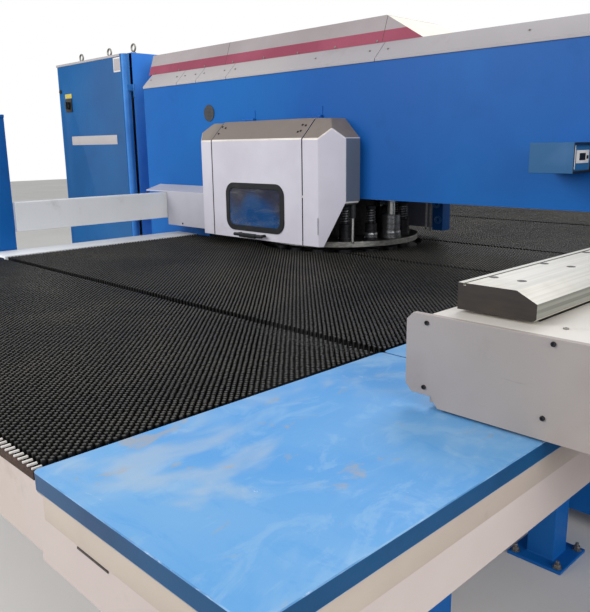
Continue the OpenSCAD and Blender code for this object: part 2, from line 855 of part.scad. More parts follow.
// Tables
module table_frame(y0, y1, rows, outer) {
    x1 = table_x1 - skirt_in;
    top = [brush_x0, y0 + (outer ? skirt_in : 0), top_sheet_z];
    block(top, [x1, y1, board_z0]);
    skirt_low = table_z - skirt_h;
    block([brush_x0, top.y, skirt_low], [brush_x0 + skirt_t, y1, board_z0]);
    block([x1 - skirt_t, top.y, skirt_low - end_skirt_extra], [x1, y1, board_z0]);
    if (outer) {
        block([brush_x0, top.y, skirt_low], [brush_x1, top.y + skirt_t, table_z - rim_drop]);
        block([brush_x1, top.y - skirt_t / 2, skirt_low - end_skirt_extra],
              [x1, top.y + skirt_t, board_z0]);
    }
    for (y = rows)
        block([brush_x0 + skirt_t, -y - bearer_w / 2, leg_top],
              [x1 - skirt_t, -y + bearer_w / 2, top_sheet_z]);
    block([brush_x0, y1 - skirt_t, leg_top], [x1, y1, board_z0]);
    if (outer) {
        for (x = leg_xs)
            block([x - spacer_w / 2, y1 - cut, leg_top], [x + spacer_w / 2, y1 + seam_gap, board_z0]);
    } else {
        block([brush_x0, y0, leg_top], [x1, y0 + skirt_t, board_z0]);
    }
    for (x = [brush_x1 + riser_in, table_x1 - riser_in - riser_w])
        block([x, y0 + riser_in, board_z0 - cut], [x + riser_w, y1 - riser_in, table_z - end_sheet_t]);
}
module front_table_frame() color("linen") table_frame(-table_half, -seam_y - seam_gap / 2,
    [leg_rows[2]], true);
module rear_table_frame() color("linen") mirror([0, 1, 0])
    table_frame(-table_half, -seam_y - seam_gap / 2, [leg_rows[2]], true);
module centre_table_frame() color("linen") difference() {
    union() {
        for (m = [0, 1]) mirror([0, m, 0])
            table_frame(-seam_y + seam_gap / 2, -inner_y, [leg_rows[0], leg_rows[1]], false);
        block([centre_x0, -inner_y - cut, top_sheet_z], [centre_x1, inner_y + cut, board_z0]);
        for (y = [-centre_bed_y, centre_bed_y]) block([centre_bed_x, y - bearer_w / 2, throat_z0],
                                                      [centre_x1, y + bearer_w / 2, top_sheet_z + cut]);
    }
    at_turret() rod_z(turret_r + turret_clear, throat_z0 - cut, table_z);
}
module brush_mat(x0, x1, y0, y1) {
    rows = floor((y1 - y0) / brush_pitch);
    start = y0 + (y1 - y0 - (rows - 1) * brush_pitch) / 2;
    block([x0, y0, board_z0], [x1, y1, board_z0 + board_t]);
    for (k = [0 : rows - 1]) block([x0, start + k * brush_pitch - brush_w / 2, board_z0 + board_t - cut],
                                   [x1, start + k * brush_pitch + brush_w / 2, table_z]);
}
module inner_mat() difference() {
    brush_mat(brush_x0 + skirt_t, brush_x1 - mat_gap, -seam_y + seam_gap / 2, -inner_y - mat_gap);
    at_turret() rod_z(turret_r + turret_clear, board_z0 - cut, table_z + cut);
}
module outer_mat() brush_mat(brush_x0 + skirt_t, brush_x1 - mat_gap,
    -table_half + skirt_in + skirt_t + mat_gap,
                             -seam_y - seam_gap / 2);
module front_brush() color("black") outer_mat();
module rear_brush() color("black") mirror([0, 1, 0]) outer_mat();
module front_inner_brush() color("black") inner_mat();
module rear_inner_brush() color("black") mirror([0, 1, 0]) inner_mat();
module centre_brush() color("black") difference() {
    brush_mat(centre_x0, centre_x1, -inner_y, inner_y);
    at_turret() rod_z(turret_r + turret_clear, board_z0 - cut, table_z + cut);
}
module end_plate(y0, y1) difference() {
    rounded_block([brush_x1, y0, table_z - end_lip], [table_x1, y1, table_z], end_corner_r);
    rounded_block([brush_x1 + end_sheet_t, y0 + end_sheet_t, table_z - end_lip - cut],
                  [table_x1 - end_sheet_t, y1 - end_sheet_t, table_z - end_sheet_t],
                  end_corner_r - end_sheet_t);
}
module outer_end_plate() end_plate(-table_half, -seam_y - seam_gap / 2);
module inner_end_plate() end_plate(-seam_y + seam_gap / 2, -inner_y);
module front_end_plate() color("cornflowerblue") outer_end_plate();
module rear_end_plate() color("cornflowerblue") mirror([0, 1, 0]) outer_end_plate();
module front_inner_end_plate() color("cornflowerblue") inner_end_plate();
module rear_inner_end_plate() color("cornflowerblue") mirror([0, 1, 0]) inner_end_plate();
module table_legs() color("royalblue") for (x = leg_xs, y = leg_rows, m = [-1, 1]) translate([x,
    m * y, 0]) {
    difference() {
        translate([-leg_w / 2, -leg_w / 2, 0]) cube([leg_w, leg_w, leg_top]);
        translate([-leg_w / 2 + leg_t, -leg_w / 2 + leg_t, leg_foot_t])
            cube([leg_w - 2 * leg_t, leg_w - 2 * leg_t, leg_top - leg_foot_t - leg_t]);
    }
    difference() {
        translate([-leg_foot_w / 2, -leg_foot_w / 2, 0]) cube([leg_foot_w, leg_foot_w, leg_foot_t]);
        translate([-leg_w / 2 + cut, -leg_w / 2 + cut, -cut])
            cube([leg_w - 2 * cut, leg_w - 2 * cut, leg_foot_t + 2 * cut]);
    }
}
module end_rails() color("white") for (m = [0, 1]) mirror([0, m, 0]) {
    block([brush_x0 - end_rail_w, -end_rail_y, table_z - end_rail_t], [brush_x0, -inner_y, table_z]);
    block([brush_x0 - end_rail_t, -end_rail_y, leg_top], [brush_x0, -inner_y, table_z]);
    block([brush_x0 - end_rail_w, -end_rail_y, table_z - end_rail_drop],
          [brush_x0 - end_rail_w + skirt_t, -inner_y, table_z]);
}

// Guard
module guard_beam() color("whitesmoke") difference() {
    block([guard_x1 - guard_w, -post_y, guard_z0], [guard_x1, -face_y, guard_z0 + guard_h]);
    block([guard_x1 - guard_w + guard_t, -post_y + guard_t, guard_z0 + guard_t],
          [guard_x1 - guard_t, -face_y - guard_t, guard_z0 + guard_h - guard_t]);
}
module guard_post() color("royalblue") {
    block([post_face_x - post_w, -post_y - post_l, 0], [post_face_x, -post_y, post_h]);
    block([post_face_x - post_w - post_cap_out, -post_y - post_l - post_cap_out, post_h - cut],
          [post_face_x + post_cap_out, -post_y, post_h + post_cap_t]);
}
module stepped_cover() color("lavender") difference() {
    step_form(0, 0);
    step_form(sheet_t, cut);
}
module step_form(g, open) intersection() {
    along_y(-face_y - step_d + g, -face_y + open) polygon([
        [step_x0 + g, step_z_notch + g], [step_notch_x + g, step_z_notch + g],
        [step_notch_x + g, step_z0 + g],
        [step_x1 - g, step_z0 + g], [step_x1 - g, step_z1 + cut], [step_x0 + g, step_z1 + cut]]);
    along_x(step_x0 - cut, step_x1 + cut) polygon([
        [-face_y - step_d - cut, step_z0 - cut], [-face_y - step_d - cut, step_top(-step_d - cut) - g],
        [-face_y + cut, step_top(cut) - g], [-face_y + cut, step_z0 - cut]]);
}
function step_top(y) = step_z1 + y * step_slope / step_d;

// Carriage
module carriage_beam() color("whitesmoke") {
    difference() {
        block([carriage_x0, -carriage_half, carriage_z0], [carriage_x1, carriage_half, carriage_top]);
        block([carriage_x0 + carriage_t, -carriage_half - cut, carriage_z0 + carriage_t],
              [carriage_x1 - carriage_t, carriage_half + cut, carriage_top - carriage_t]);
        block([rail_cx - slot_w / 2, -carriage_half + slot_end, carriage_top - carriage_t - cut],
              [rail_cx + slot_w / 2, carriage_half - slot_end, carriage_top + cut]);
    }
    for (s = [-1, 1]) guide_bed(rail_cx + s * bar_off);
    for (s = [-1, 1]) screw_block(s);
    for (s = [-1, 1]) saddle(s);
    travel_nut();
}
module guide_bed(x)
    block([x - bed_w / 2, -carriage_half, carriage_z0 + carriage_t - cut],
          [x + bed_w / 2, carriage_half, bar_z0]);
module screw_block(s) difference() {
    block([rail_cx - bar_off + bed_w / 2 - cut, s * screw_half - screw_block_l / 2,
          carriage_z0 + carriage_t - cut],
          [rail_cx + bar_off - bed_w / 2 + cut, s * screw_half + screw_block_l / 2, bar_z0]);
    translate([rail_cx, 0, screw_z])
        rod_y(screw_r + run, s * screw_half - screw_block_l, s * screw_half + screw_block_l);
}
module saddle(s) difference() {
    block([carriage_x1 - saddle_l, s > 0 ? saddle_y0 : -saddle_y1, throat_z0 + saddle_gap],
          [carriage_x1, s > 0 ? saddle_y1 : -saddle_y0, carriage_z0 + cut]);
    block([carriage_x1 - saddle_l - cut, s * travel_bar_y - guide_bar_w / 2 - slide, throat_z0],
          [carriage_x1 + cut, s * travel_bar_y + guide_bar_w / 2 + slide, throat_z0 + guide_bar_h + slide]);
}
module travel_nut() difference() {
    block([carriage_x1 - saddle_l, -travel_nut_w / 2, travel_screw_z - travel_nut_w / 2],
          [carriage_x1, travel_nut_w / 2, carriage_z0 + cut]);
    translate([0, 0, travel_screw_z]) rod_x(screw_r + run, carriage_x0, carriage_x1 + cut);
}
module carriage_end_plates() color("lightgray") for (m = [0, 1]) mirror([0, m, 0]) difference() {
    along_y(-carriage_half - end_plate_t, -carriage_half) end_plate_outline();
    if (m == 1) translate([rail_cx, 0, screw_z])
        rod_y(screw_r + slide, -carriage_half - end_plate_t - cut, -carriage_half + cut);
}
module end_plate_outline() {
    x0 = carriage_x0 - end_plate_over;
    x1 = carriage_x1 + end_plate_over;
    c = end_plate_chamfer;
    low = table_z + end_plate_low;
    polygon([
        [x0, carriage_top - c], [x0 + c, carriage_top], [x1 - c, carriage_top], [x1, carriage_top - c],
        [x1, low + tab_rise + c], [x1 - c, low + tab_rise], [x1 - tab_w, low + tab_rise],
        [x1 - tab_w - c, low],
        [x0 + tab_w + c, low], [x0 + tab_w, low + tab_rise], [x0 + c, low + tab_rise],
        [x0, low + tab_rise + c]]);
}
module clamp_rail() color("silver") {
    y0 = -rail_rest - rail_l / 2;
    y1 = y0 + rail_l;
    along_y(y0, y1) polygon([
        [rail_x0, rail_z0], [rail_x0, rail_z1], [rail_x0 + groove_off, rail_z1],
        [rail_x0 + groove_off, rail_z1 - groove_t], [rail_x0 + groove_off + groove_t, rail_z1 - groove_t],
        [rail_x0 + groove_off + groove_t, rail_z1],
        [rail_x1 - rail_bevel_w, rail_z1], [rail_x1, rail_z1 - rail_bevel_h],
        [rail_x1, rail_z0 + groove_t], [rail_x1 - groove_t, rail_z0]]);
    for (s = [-1, 1], t = [-1, 1]) rail_block(rail_cx + s * bar_off, -rail_rest + t * block_off);
    rail_nut();
}
module rail_block(x, y) difference() {
    block([x - block_w / 2, y - block_l / 2, bar_z0 + block_lift],
          [x + block_w / 2, y + block_l / 2, rail_z0 + cut]);
    block([x - guide_bar_w / 2 - slide, y - block_l, bar_z0],
          [x + guide_bar_w / 2 + slide, y + block_l, bar_top + slide]);
}
module rail_nut() difference() {
    block([rail_cx - nut_w / 2, -rail_rest - nut_l / 2, screw_z - nut_w / 2],
          [rail_cx + nut_w / 2, -rail_rest + nut_l / 2, rail_z0 + cut]);
    translate([rail_cx, 0, screw_z]) rod_y(screw_r + run, -rail_rest - nut_l, -rail_rest + nut_l);
}
module cross_guides() color("dimgray") for (s = [-1, 1])
    block([rail_cx + s * bar_off - guide_bar_w / 2, -carriage_half, bar_z0],
          [rail_cx + s * bar_off + guide_bar_w / 2, carriage_half, bar_top]);
module cross_screw() color("silver") translate([rail_cx, 0, screw_z])
    rod_y(screw_r, -screw_half - screw_block_l / 2, carriage_half + end_plate_t);
module cross_motor() color("dimgray") translate([rail_cx, 0, screw_z])
    rod_y(motor_r, carriage_half + end_plate_t, carriage_half + end_plate_t + motor_l);
module traverse_guides() color("dimgray") {
    for (s = [-1, 1]) block([travel_bar_x0, s * travel_bar_y - guide_bar_w / 2, throat_z0],
                            [travel_x1, s * travel_bar_y + guide_bar_w / 2, throat_z0 + guide_bar_h]);
    difference() {
        block([travel_bar_x0 - travel_block_l, -travel_nut_w / 2, throat_z0],
              [travel_bar_x0, travel_nut_w / 2, travel_screw_z + travel_nut_w / 2]);
        translate([0, 0, travel_screw_z])
            rod_x(screw_r + run, travel_bar_x0 - travel_block_l - cut, travel_bar_x0 + cut);
    }
}
module traverse_screw() color("silver") translate([0, 0, travel_screw_z])
    rod_x(screw_r, travel_bar_x0 - travel_block_l, throat_x1 + plate_t);
module traverse_motor() color("dimgray") translate([0, 0, travel_screw_z])
    rod_x(motor_r, throat_x1 + plate_t, throat_x1 + plate_t + motor_l);
module clamp_bodies() color("dimgray") for (y = clamp_places) translate([0, y, 0]) {
    block([clamp_x1 - clamp_body_l, -clamp_w / 2, rail_z0 + block_lift],
          [rail_x0, clamp_w / 2, rail_z1 - block_lift]);
    block([clamp_x1 - jaw_l, -clamp_w / 2, clamp_plate_z],
          [clamp_x1, clamp_w / 2, clamp_plate_z + clamp_plate_t]);
    difference() {
        block([clamp_x1 - clamp_body_l, -clamp_w / 2, clamp_plate_z],
              [clamp_x1, clamp_w / 2, rail_z0 + block_lift + cut]);
        block([clamp_x1 - clamp_body_l - cut, -clamp_w / 2 + jaw_ear_w, clamp_plate_z + clamp_plate_t],
              [clamp_x1 + cut, clamp_w / 2 - jaw_ear_w, jaw_z0 + jaw_pocket_top]);
    }
    translate([jaw_pin_x, 0, jaw_pin_z]) rod_y(jaw_pin_r, -clamp_w / 2, clamp_w / 2);
}
module clamp_jaw(y) translate([0, y, 0]) difference() {
    w = clamp_w / 2 - jaw_ear_w - jaw_gap;
    along_y(-w, w) polygon([
        [clamp_x1 - jaw_l, jaw_z0], [jaw_pin_x, jaw_z0], [jaw_pin_x + jaw_back, jaw_z0 + jaw_back_rise],
        [jaw_pin_x + jaw_back, jaw_pin_z + jaw_top], [jaw_pin_x - jaw_top, jaw_pin_z + jaw_top],
        [jaw_pin_x - 2 * jaw_top, jaw_z0 + jaw_t], [clamp_x1 - jaw_l, jaw_z0 + jaw_nose]]);
    translate([jaw_pin_x, 0, jaw_pin_z]) rod_y(jaw_pin_r + run, -clamp_w / 2, clamp_w / 2);
}
module clamp_jaw_front() color("gray") clamp_jaw(clamp_places[0]);
module clamp_jaw_rear() color("gray") clamp_jaw(clamp_places[1]);

// Cabinet
module cabinet_body() color("steelblue") {
    difference() {
        block([cabinet_x, cabinet_y0, 0], [cabinet_x1, cabinet_y1, cabinet_h]);
        block([cabinet_x + cabinet_wall, cabinet_y0 - cut, plinth_h],
              [cabinet_x1 - cabinet_wall, cabinet_y1 - cabinet_wall, cabinet_h - cabinet_wall]);
    }
    cable_duct();
    for (z = knuckle_zs) {
        translate([cabinet_pin_x, cabinet_pin_y, 0]) {
            rod_z(knuckle_r, z - knuckle_h, z);
            rod_z(cabinet_pin_r, z - cut, z + knuckle_h);
        }
        block([cabinet_x1 - cut, cabinet_y0, z - knuckle_h], [cabinet_pin_x, cabinet_y0 + knuckle_r, z]);
    }
}
module cable_duct() difference() {
    block([cabinet_x1 - cut, duct_y, duct_z], [frame_x0, duct_y + duct_w, duct_z + duct_h]);
    block([cabinet_x1 + cut, duct_y + sheet_t, duct_z + sheet_t],
          [frame_x0 + cut, duct_y + duct_w - sheet_t, duct_z + duct_h - sheet_t]);
}
module cabinet_door() color("steelblue") {
    difference() {
        rounded_block([cabinet_x, -cabinet_front, plinth_h],
                      [cabinet_x1, -cabinet_front + cabinet_door_t, cabinet_h - door_top_gap],
                      cabinet_edge_r);
        rounded_block([cabinet_x + cabinet_wall, -cabinet_front + cabinet_wall, plinth_h + cabinet_wall],
                      [cabinet_x1 - cabinet_wall, -cabinet_front + 2 * cabinet_door_t,
                       cabinet_h - door_top_gap - cabinet_wall],
                      cabinet_edge_r - cabinet_wall);
    }
    for (z = knuckle_zs) difference() {
        union() {
            translate([cabinet_pin_x, cabinet_pin_y, 0]) rod_z(knuckle_r, z + slide, z + knuckle_h);
            block([cabinet_x1 - cut, -cabinet_front + cabinet_door_t - cabinet_edge_r - knuckle_r,
                  z + slide],
                  [cabinet_pin_x, -cabinet_front + cabinet_door_t - cabinet_edge_r, z + knuckle_h]);
            block([cabinet_x1, -cabinet_front + cabinet_door_t - cabinet_edge_r, z + slide],
                  [cabinet_pin_x, cabinet_pin_y, z + knuckle_h]);
        }
        translate([cabinet_pin_x, cabinet_pin_y, 0]) rod_z(cabinet_pin_r + run, z - cut,
            z + knuckle_h + cut);
    }
    block([switch_x - switch_base_w / 2, -cabinet_front - switch_base_t, switch_z - switch_base_w / 2],
          [switch_x + switch_base_w / 2, -cabinet_front + cut, switch_z + switch_base_w / 2]);
}
module main_switch() color("black") translate([switch_x, 0, switch_z]) {
    rod_y(switch_r, -cabinet_front - switch_base_t - switch_out / 2, -cabinet_front - switch_base_t);
    block([-switch_grip_w / 2, -cabinet_front - switch_base_t - switch_out, -switch_r],
          [switch_grip_w / 2, -cabinet_front - switch_base_t - switch_out / 2 + cut, switch_r]);
}
module cabinet_modules() color("lightgray") {
    plate_y = cabinet_y1 - cabinet_wall;
    front = plate_y - cabinet_wall + cut;
    pitch = (cabinet_w - 2 * module_in) / drives;
    block([cabinet_x + plate_in, plate_y - cabinet_wall, 2 * plate_in],
          [cabinet_x1 - plate_in, plate_y, cabinet_h - 2 * plate_in]);
    for (k = [0 : drives - 1]) block([cabinet_x + module_in + k * pitch, front - drive_d, drive_z],
                                     [cabinet_x + module_in + (k + drive_share) * pitch, front,
                                     drive_z + drive_h]);
    block([cabinet_x + module_in, front - contactor_d, contactor_z],
          [cabinet_x1 - module_in, front, contactor_z + contactor_h]);
    block([cabinet_x + module_in, front - transformer_d, transformer_z],
          [cabinet_x + module_in + transformer_w, front, transformer_z + transformer_w]);
}
module lifting_eyes() color("silver") for (x = eye_places) translate([cabinet_x + x, eye_y, cabinet_h]) {
    rod_z(eye_foot_r, 0, eye_foot_h);
    translate([0, 0, eye_foot_h + eye_r + eye_wire_r - eye_sink]) rotate([90, 0, 0]) rotate_extrude()
        translate([eye_r, 0]) circle(eye_wire_r);
}

o_frame();
frame_feet();
beam_cover();
roof_hood();
face_plug();
display_box();
upper_turret();
lower_turret();
turret_bearings();
punch_guides();
punches();
punch_springs();
working_punch();
dies();
turret_drives();
ram_cylinder();
ram();
left_cover();
right_cover();
cover_door();
door_window();
window_rubber();
door_handle();
hinge_brackets();
door_hinges();
rear_cover();
front_table_frame();
centre_table_frame();
rear_table_frame();
front_brush();
front_inner_brush();
centre_brush();
rear_inner_brush();
rear_brush();
front_end_plate();
front_inner_end_plate();
rear_inner_end_plate();
rear_end_plate();
table_legs();
end_rails();
guard_beam();
guard_post();
stepped_cover();
carriage_beam();
carriage_end_plates();
clamp_rail();
cross_guides();
cross_screw();
cross_motor();
traverse_guides();
traverse_screw();
traverse_motor();
clamp_bodies();
clamp_jaw_front();
clamp_jaw_rear();
cabinet_body();
cabinet_door();
cabinet_modules();
lifting_eyes();
main_switch();
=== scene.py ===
import json
import math
import random

import bmesh
import bpy
from mathutils import Matrix, Vector, noise

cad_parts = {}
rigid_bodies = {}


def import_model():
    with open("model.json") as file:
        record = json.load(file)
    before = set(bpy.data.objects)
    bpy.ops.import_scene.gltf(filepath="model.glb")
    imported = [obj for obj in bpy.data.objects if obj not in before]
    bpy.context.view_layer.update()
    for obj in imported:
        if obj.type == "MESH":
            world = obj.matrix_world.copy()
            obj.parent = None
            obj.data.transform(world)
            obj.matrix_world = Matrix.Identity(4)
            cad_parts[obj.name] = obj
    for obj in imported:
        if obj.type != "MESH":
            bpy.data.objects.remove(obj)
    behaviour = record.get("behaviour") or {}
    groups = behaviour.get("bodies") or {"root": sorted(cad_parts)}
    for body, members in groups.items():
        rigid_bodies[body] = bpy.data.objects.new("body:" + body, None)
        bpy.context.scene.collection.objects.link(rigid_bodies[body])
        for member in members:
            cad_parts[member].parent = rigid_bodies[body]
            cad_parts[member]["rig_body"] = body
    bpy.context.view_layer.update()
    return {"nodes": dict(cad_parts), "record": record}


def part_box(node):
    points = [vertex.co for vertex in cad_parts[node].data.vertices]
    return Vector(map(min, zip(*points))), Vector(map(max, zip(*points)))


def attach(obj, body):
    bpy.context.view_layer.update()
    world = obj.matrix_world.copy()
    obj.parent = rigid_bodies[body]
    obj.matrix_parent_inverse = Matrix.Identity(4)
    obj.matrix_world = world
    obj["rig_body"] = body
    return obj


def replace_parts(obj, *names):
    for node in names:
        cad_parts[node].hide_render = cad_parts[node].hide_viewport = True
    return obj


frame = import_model()
nodes = frame["nodes"]
random.seed(11)
print("frame loaded")


# Shader maths: a wire is one output, and expressions on wires add their Math nodes.
class Wire:
    def __init__(self, finish, socket):
        self.finish = finish
        self.socket = socket

    def maths(self, operation, other):
        return self.finish.add("ShaderNodeMath", {"operation": operation}, {0: self, 1: other})

    def __add__(self, other):
        return self.maths("ADD", other)

    def __mul__(self, other):
        return self.maths("MULTIPLY", other)

    __radd__ = __add__


class Finish:
    def __init__(self, name, roughness=0.5, metallic=0.0, gloss=0.5):
        self.material = bpy.data.materials.new(name)
        self.material.use_nodes = True
        self.tree = self.material.node_tree
        self.tree.nodes.clear()
        self.surface = self.tree.nodes.new("ShaderNodeBsdfPrincipled")
        self.surface.inputs["Roughness"].default_value = roughness
        self.surface.inputs["Metallic"].default_value = metallic
        self.surface.inputs["Specular IOR Level"].default_value = gloss
        output = self.tree.nodes.new("ShaderNodeOutputMaterial")
        self.tree.links.new(self.surface.outputs[0], output.inputs["Surface"])
        self.place = self.add("ShaderNodeTexCoord", out="Object")

    # any node: its type, its settings first, then the values or links of its sockets
    def add(self, kind, settings=None, sockets=None, out=0):
        node = self.tree.nodes.new(kind)
        for key, value in (settings or {}).items():
            setattr(node, key, value)
        for key, value in (sockets or {}).items():
            self.feed(node.inputs[key], value)
        return Wire(self, node.outputs[out])

    def feed(self, socket, value):
        if isinstance(value, Wire):
            self.tree.links.new(value.socket, socket)
        else:
            socket.default_value = value

    def put(self, **values):
        for key, value in values.items():
            self.feed(self.surface.inputs[key.replace("_", " ")], value)

    # a noise cloud; a stretch scales its place, a twist swirls it
    def cloud(self, scale, detail, rough=0.55, stretch=None, twist=0.0):
        place = self.place
        if stretch:
            place = self.add("ShaderNodeMapping", None, {"Vector": place, "Scale": stretch})
        return self.add("ShaderNodeTexNoise", None, {"Vector": place, "Scale": scale, "Detail": detail,
                                                     "Roughness": rough, "Distortion": twist})

    def band(self, value, low, high):
        return self.add("ShaderNodeMapRange", {"interpolation_type": "SMOOTHSTEP"},
                        {0: value, 1: low, 2: high, 3: 0.0, 4: 1.0})

    def mixed(self, factor, first, second):
        return self.add("ShaderNodeMix", {"data_type": "RGBA"}, {0: factor, 6: first, 7: second}, out=2)

    def axis(self, letter):
        return self.add("ShaderNodeSeparateXYZ", None, {0: self.place}, out=letter)

    # lays a colour over another where a cloud is thick; the layer is its colour, scale and amount
    def layer(self, base, layer, band, *cloud):
        colour, scale, amount = layer
        mask = self.band(self.cloud(scale, *cloud), *band) * amount
        return self.mixed(mask, base, paint(colour)), mask

    def bump(self, height, distance, strength):
        self.put(Normal=self.add("ShaderNodeBump", None, {"Height": height, "Distance": distance,
                                                          "Strength": strength}))


# a colour from its six hex digits, through the sRGB curve
def paint(text):
    parts = [int(text[i:i + 2], 16) / 255 for i in (0, 2, 4)]
    linear = [c / 12.92 if c <= 0.04045 else ((c + 0.055) / 1.055) ** 2.4 for c in parts]
    return (*linear, 1.0)


# Painted steel: two close shades in soft patches, dust, fine scratches and a faint orange peel.
# A paint gives its shades with their scale, then haze, grime and scuff as colour, scale and amount.
paintBase = {"gloss": 0.2, "roughness": 0.5, "patchDetail": 4.0, "patchBand": (0.38, 0.64), "patchRough": 0.1,
             "roughShift": -0.05, "hazeBand": (0.5, 0.72), "hazeCloud": (2.0, 0.5), "reflectionShare": (0.6, 0.35),
             "grimeBand": (0.56, 0.82), "grimeCloud": (6.0, 0.7), "grimeRough": 0.25, "scuffFrom": 0.7,
             "scuffTo": 0.8, "scuffCloud": (5.0, 0.75), "scuffStretch": (1.0, 1.0, 6.0), "scuffTwist": 1.2,
             "scuffSink": -0.5, "peel": (260.0, 2.0), "bump": (0.0004, 0.35)}


def paintedSteel(name, ownLook):
    look = {**paintBase, **ownLook}
    finish = Finish(name, gloss=look["gloss"])
    deep, light, scale = look["shades"]
    patches = finish.cloud(scale, look["patchDetail"])
    colour = finish.mixed(finish.band(patches, *look["patchBand"]), paint(deep), paint(light))
    if "haze" in look:
        colour = finish.layer(colour, look["haze"], look["hazeBand"], *look["hazeCloud"])[0]
    # a paler patch fixed at the frame's upper right by x and z: a painted reflection
    if "paintedReflection" in look:
        paintedReflection, along, up = look["paintedReflection"]
        share, least = look["reflectionShare"]
        reflectionMask = finish.band(finish.axis("X"), *along) * finish.band(finish.axis("Z"), *up)
        colour = finish.mixed(reflectionMask * (patches * share + least), colour, paint(paintedReflection))
    colour, grime = finish.layer(colour, look["grime"], look["grimeBand"], *look["grimeCloud"])
    colour, scuffs = finish.layer(colour, look["scuff"], (look["scuffFrom"], look["scuffTo"]), *look["scuffCloud"],
                                  look["scuffStretch"], look["scuffTwist"])
    finish.put(Base_Color=colour, Roughness=look["roughness"] + patches * look["patchRough"]
               + grime * look["grimeRough"] + look["roughShift"])
    finish.bump(finish.cloud(*look["peel"]) + scuffs * look["scuffSink"], *look["bump"])
    return finish


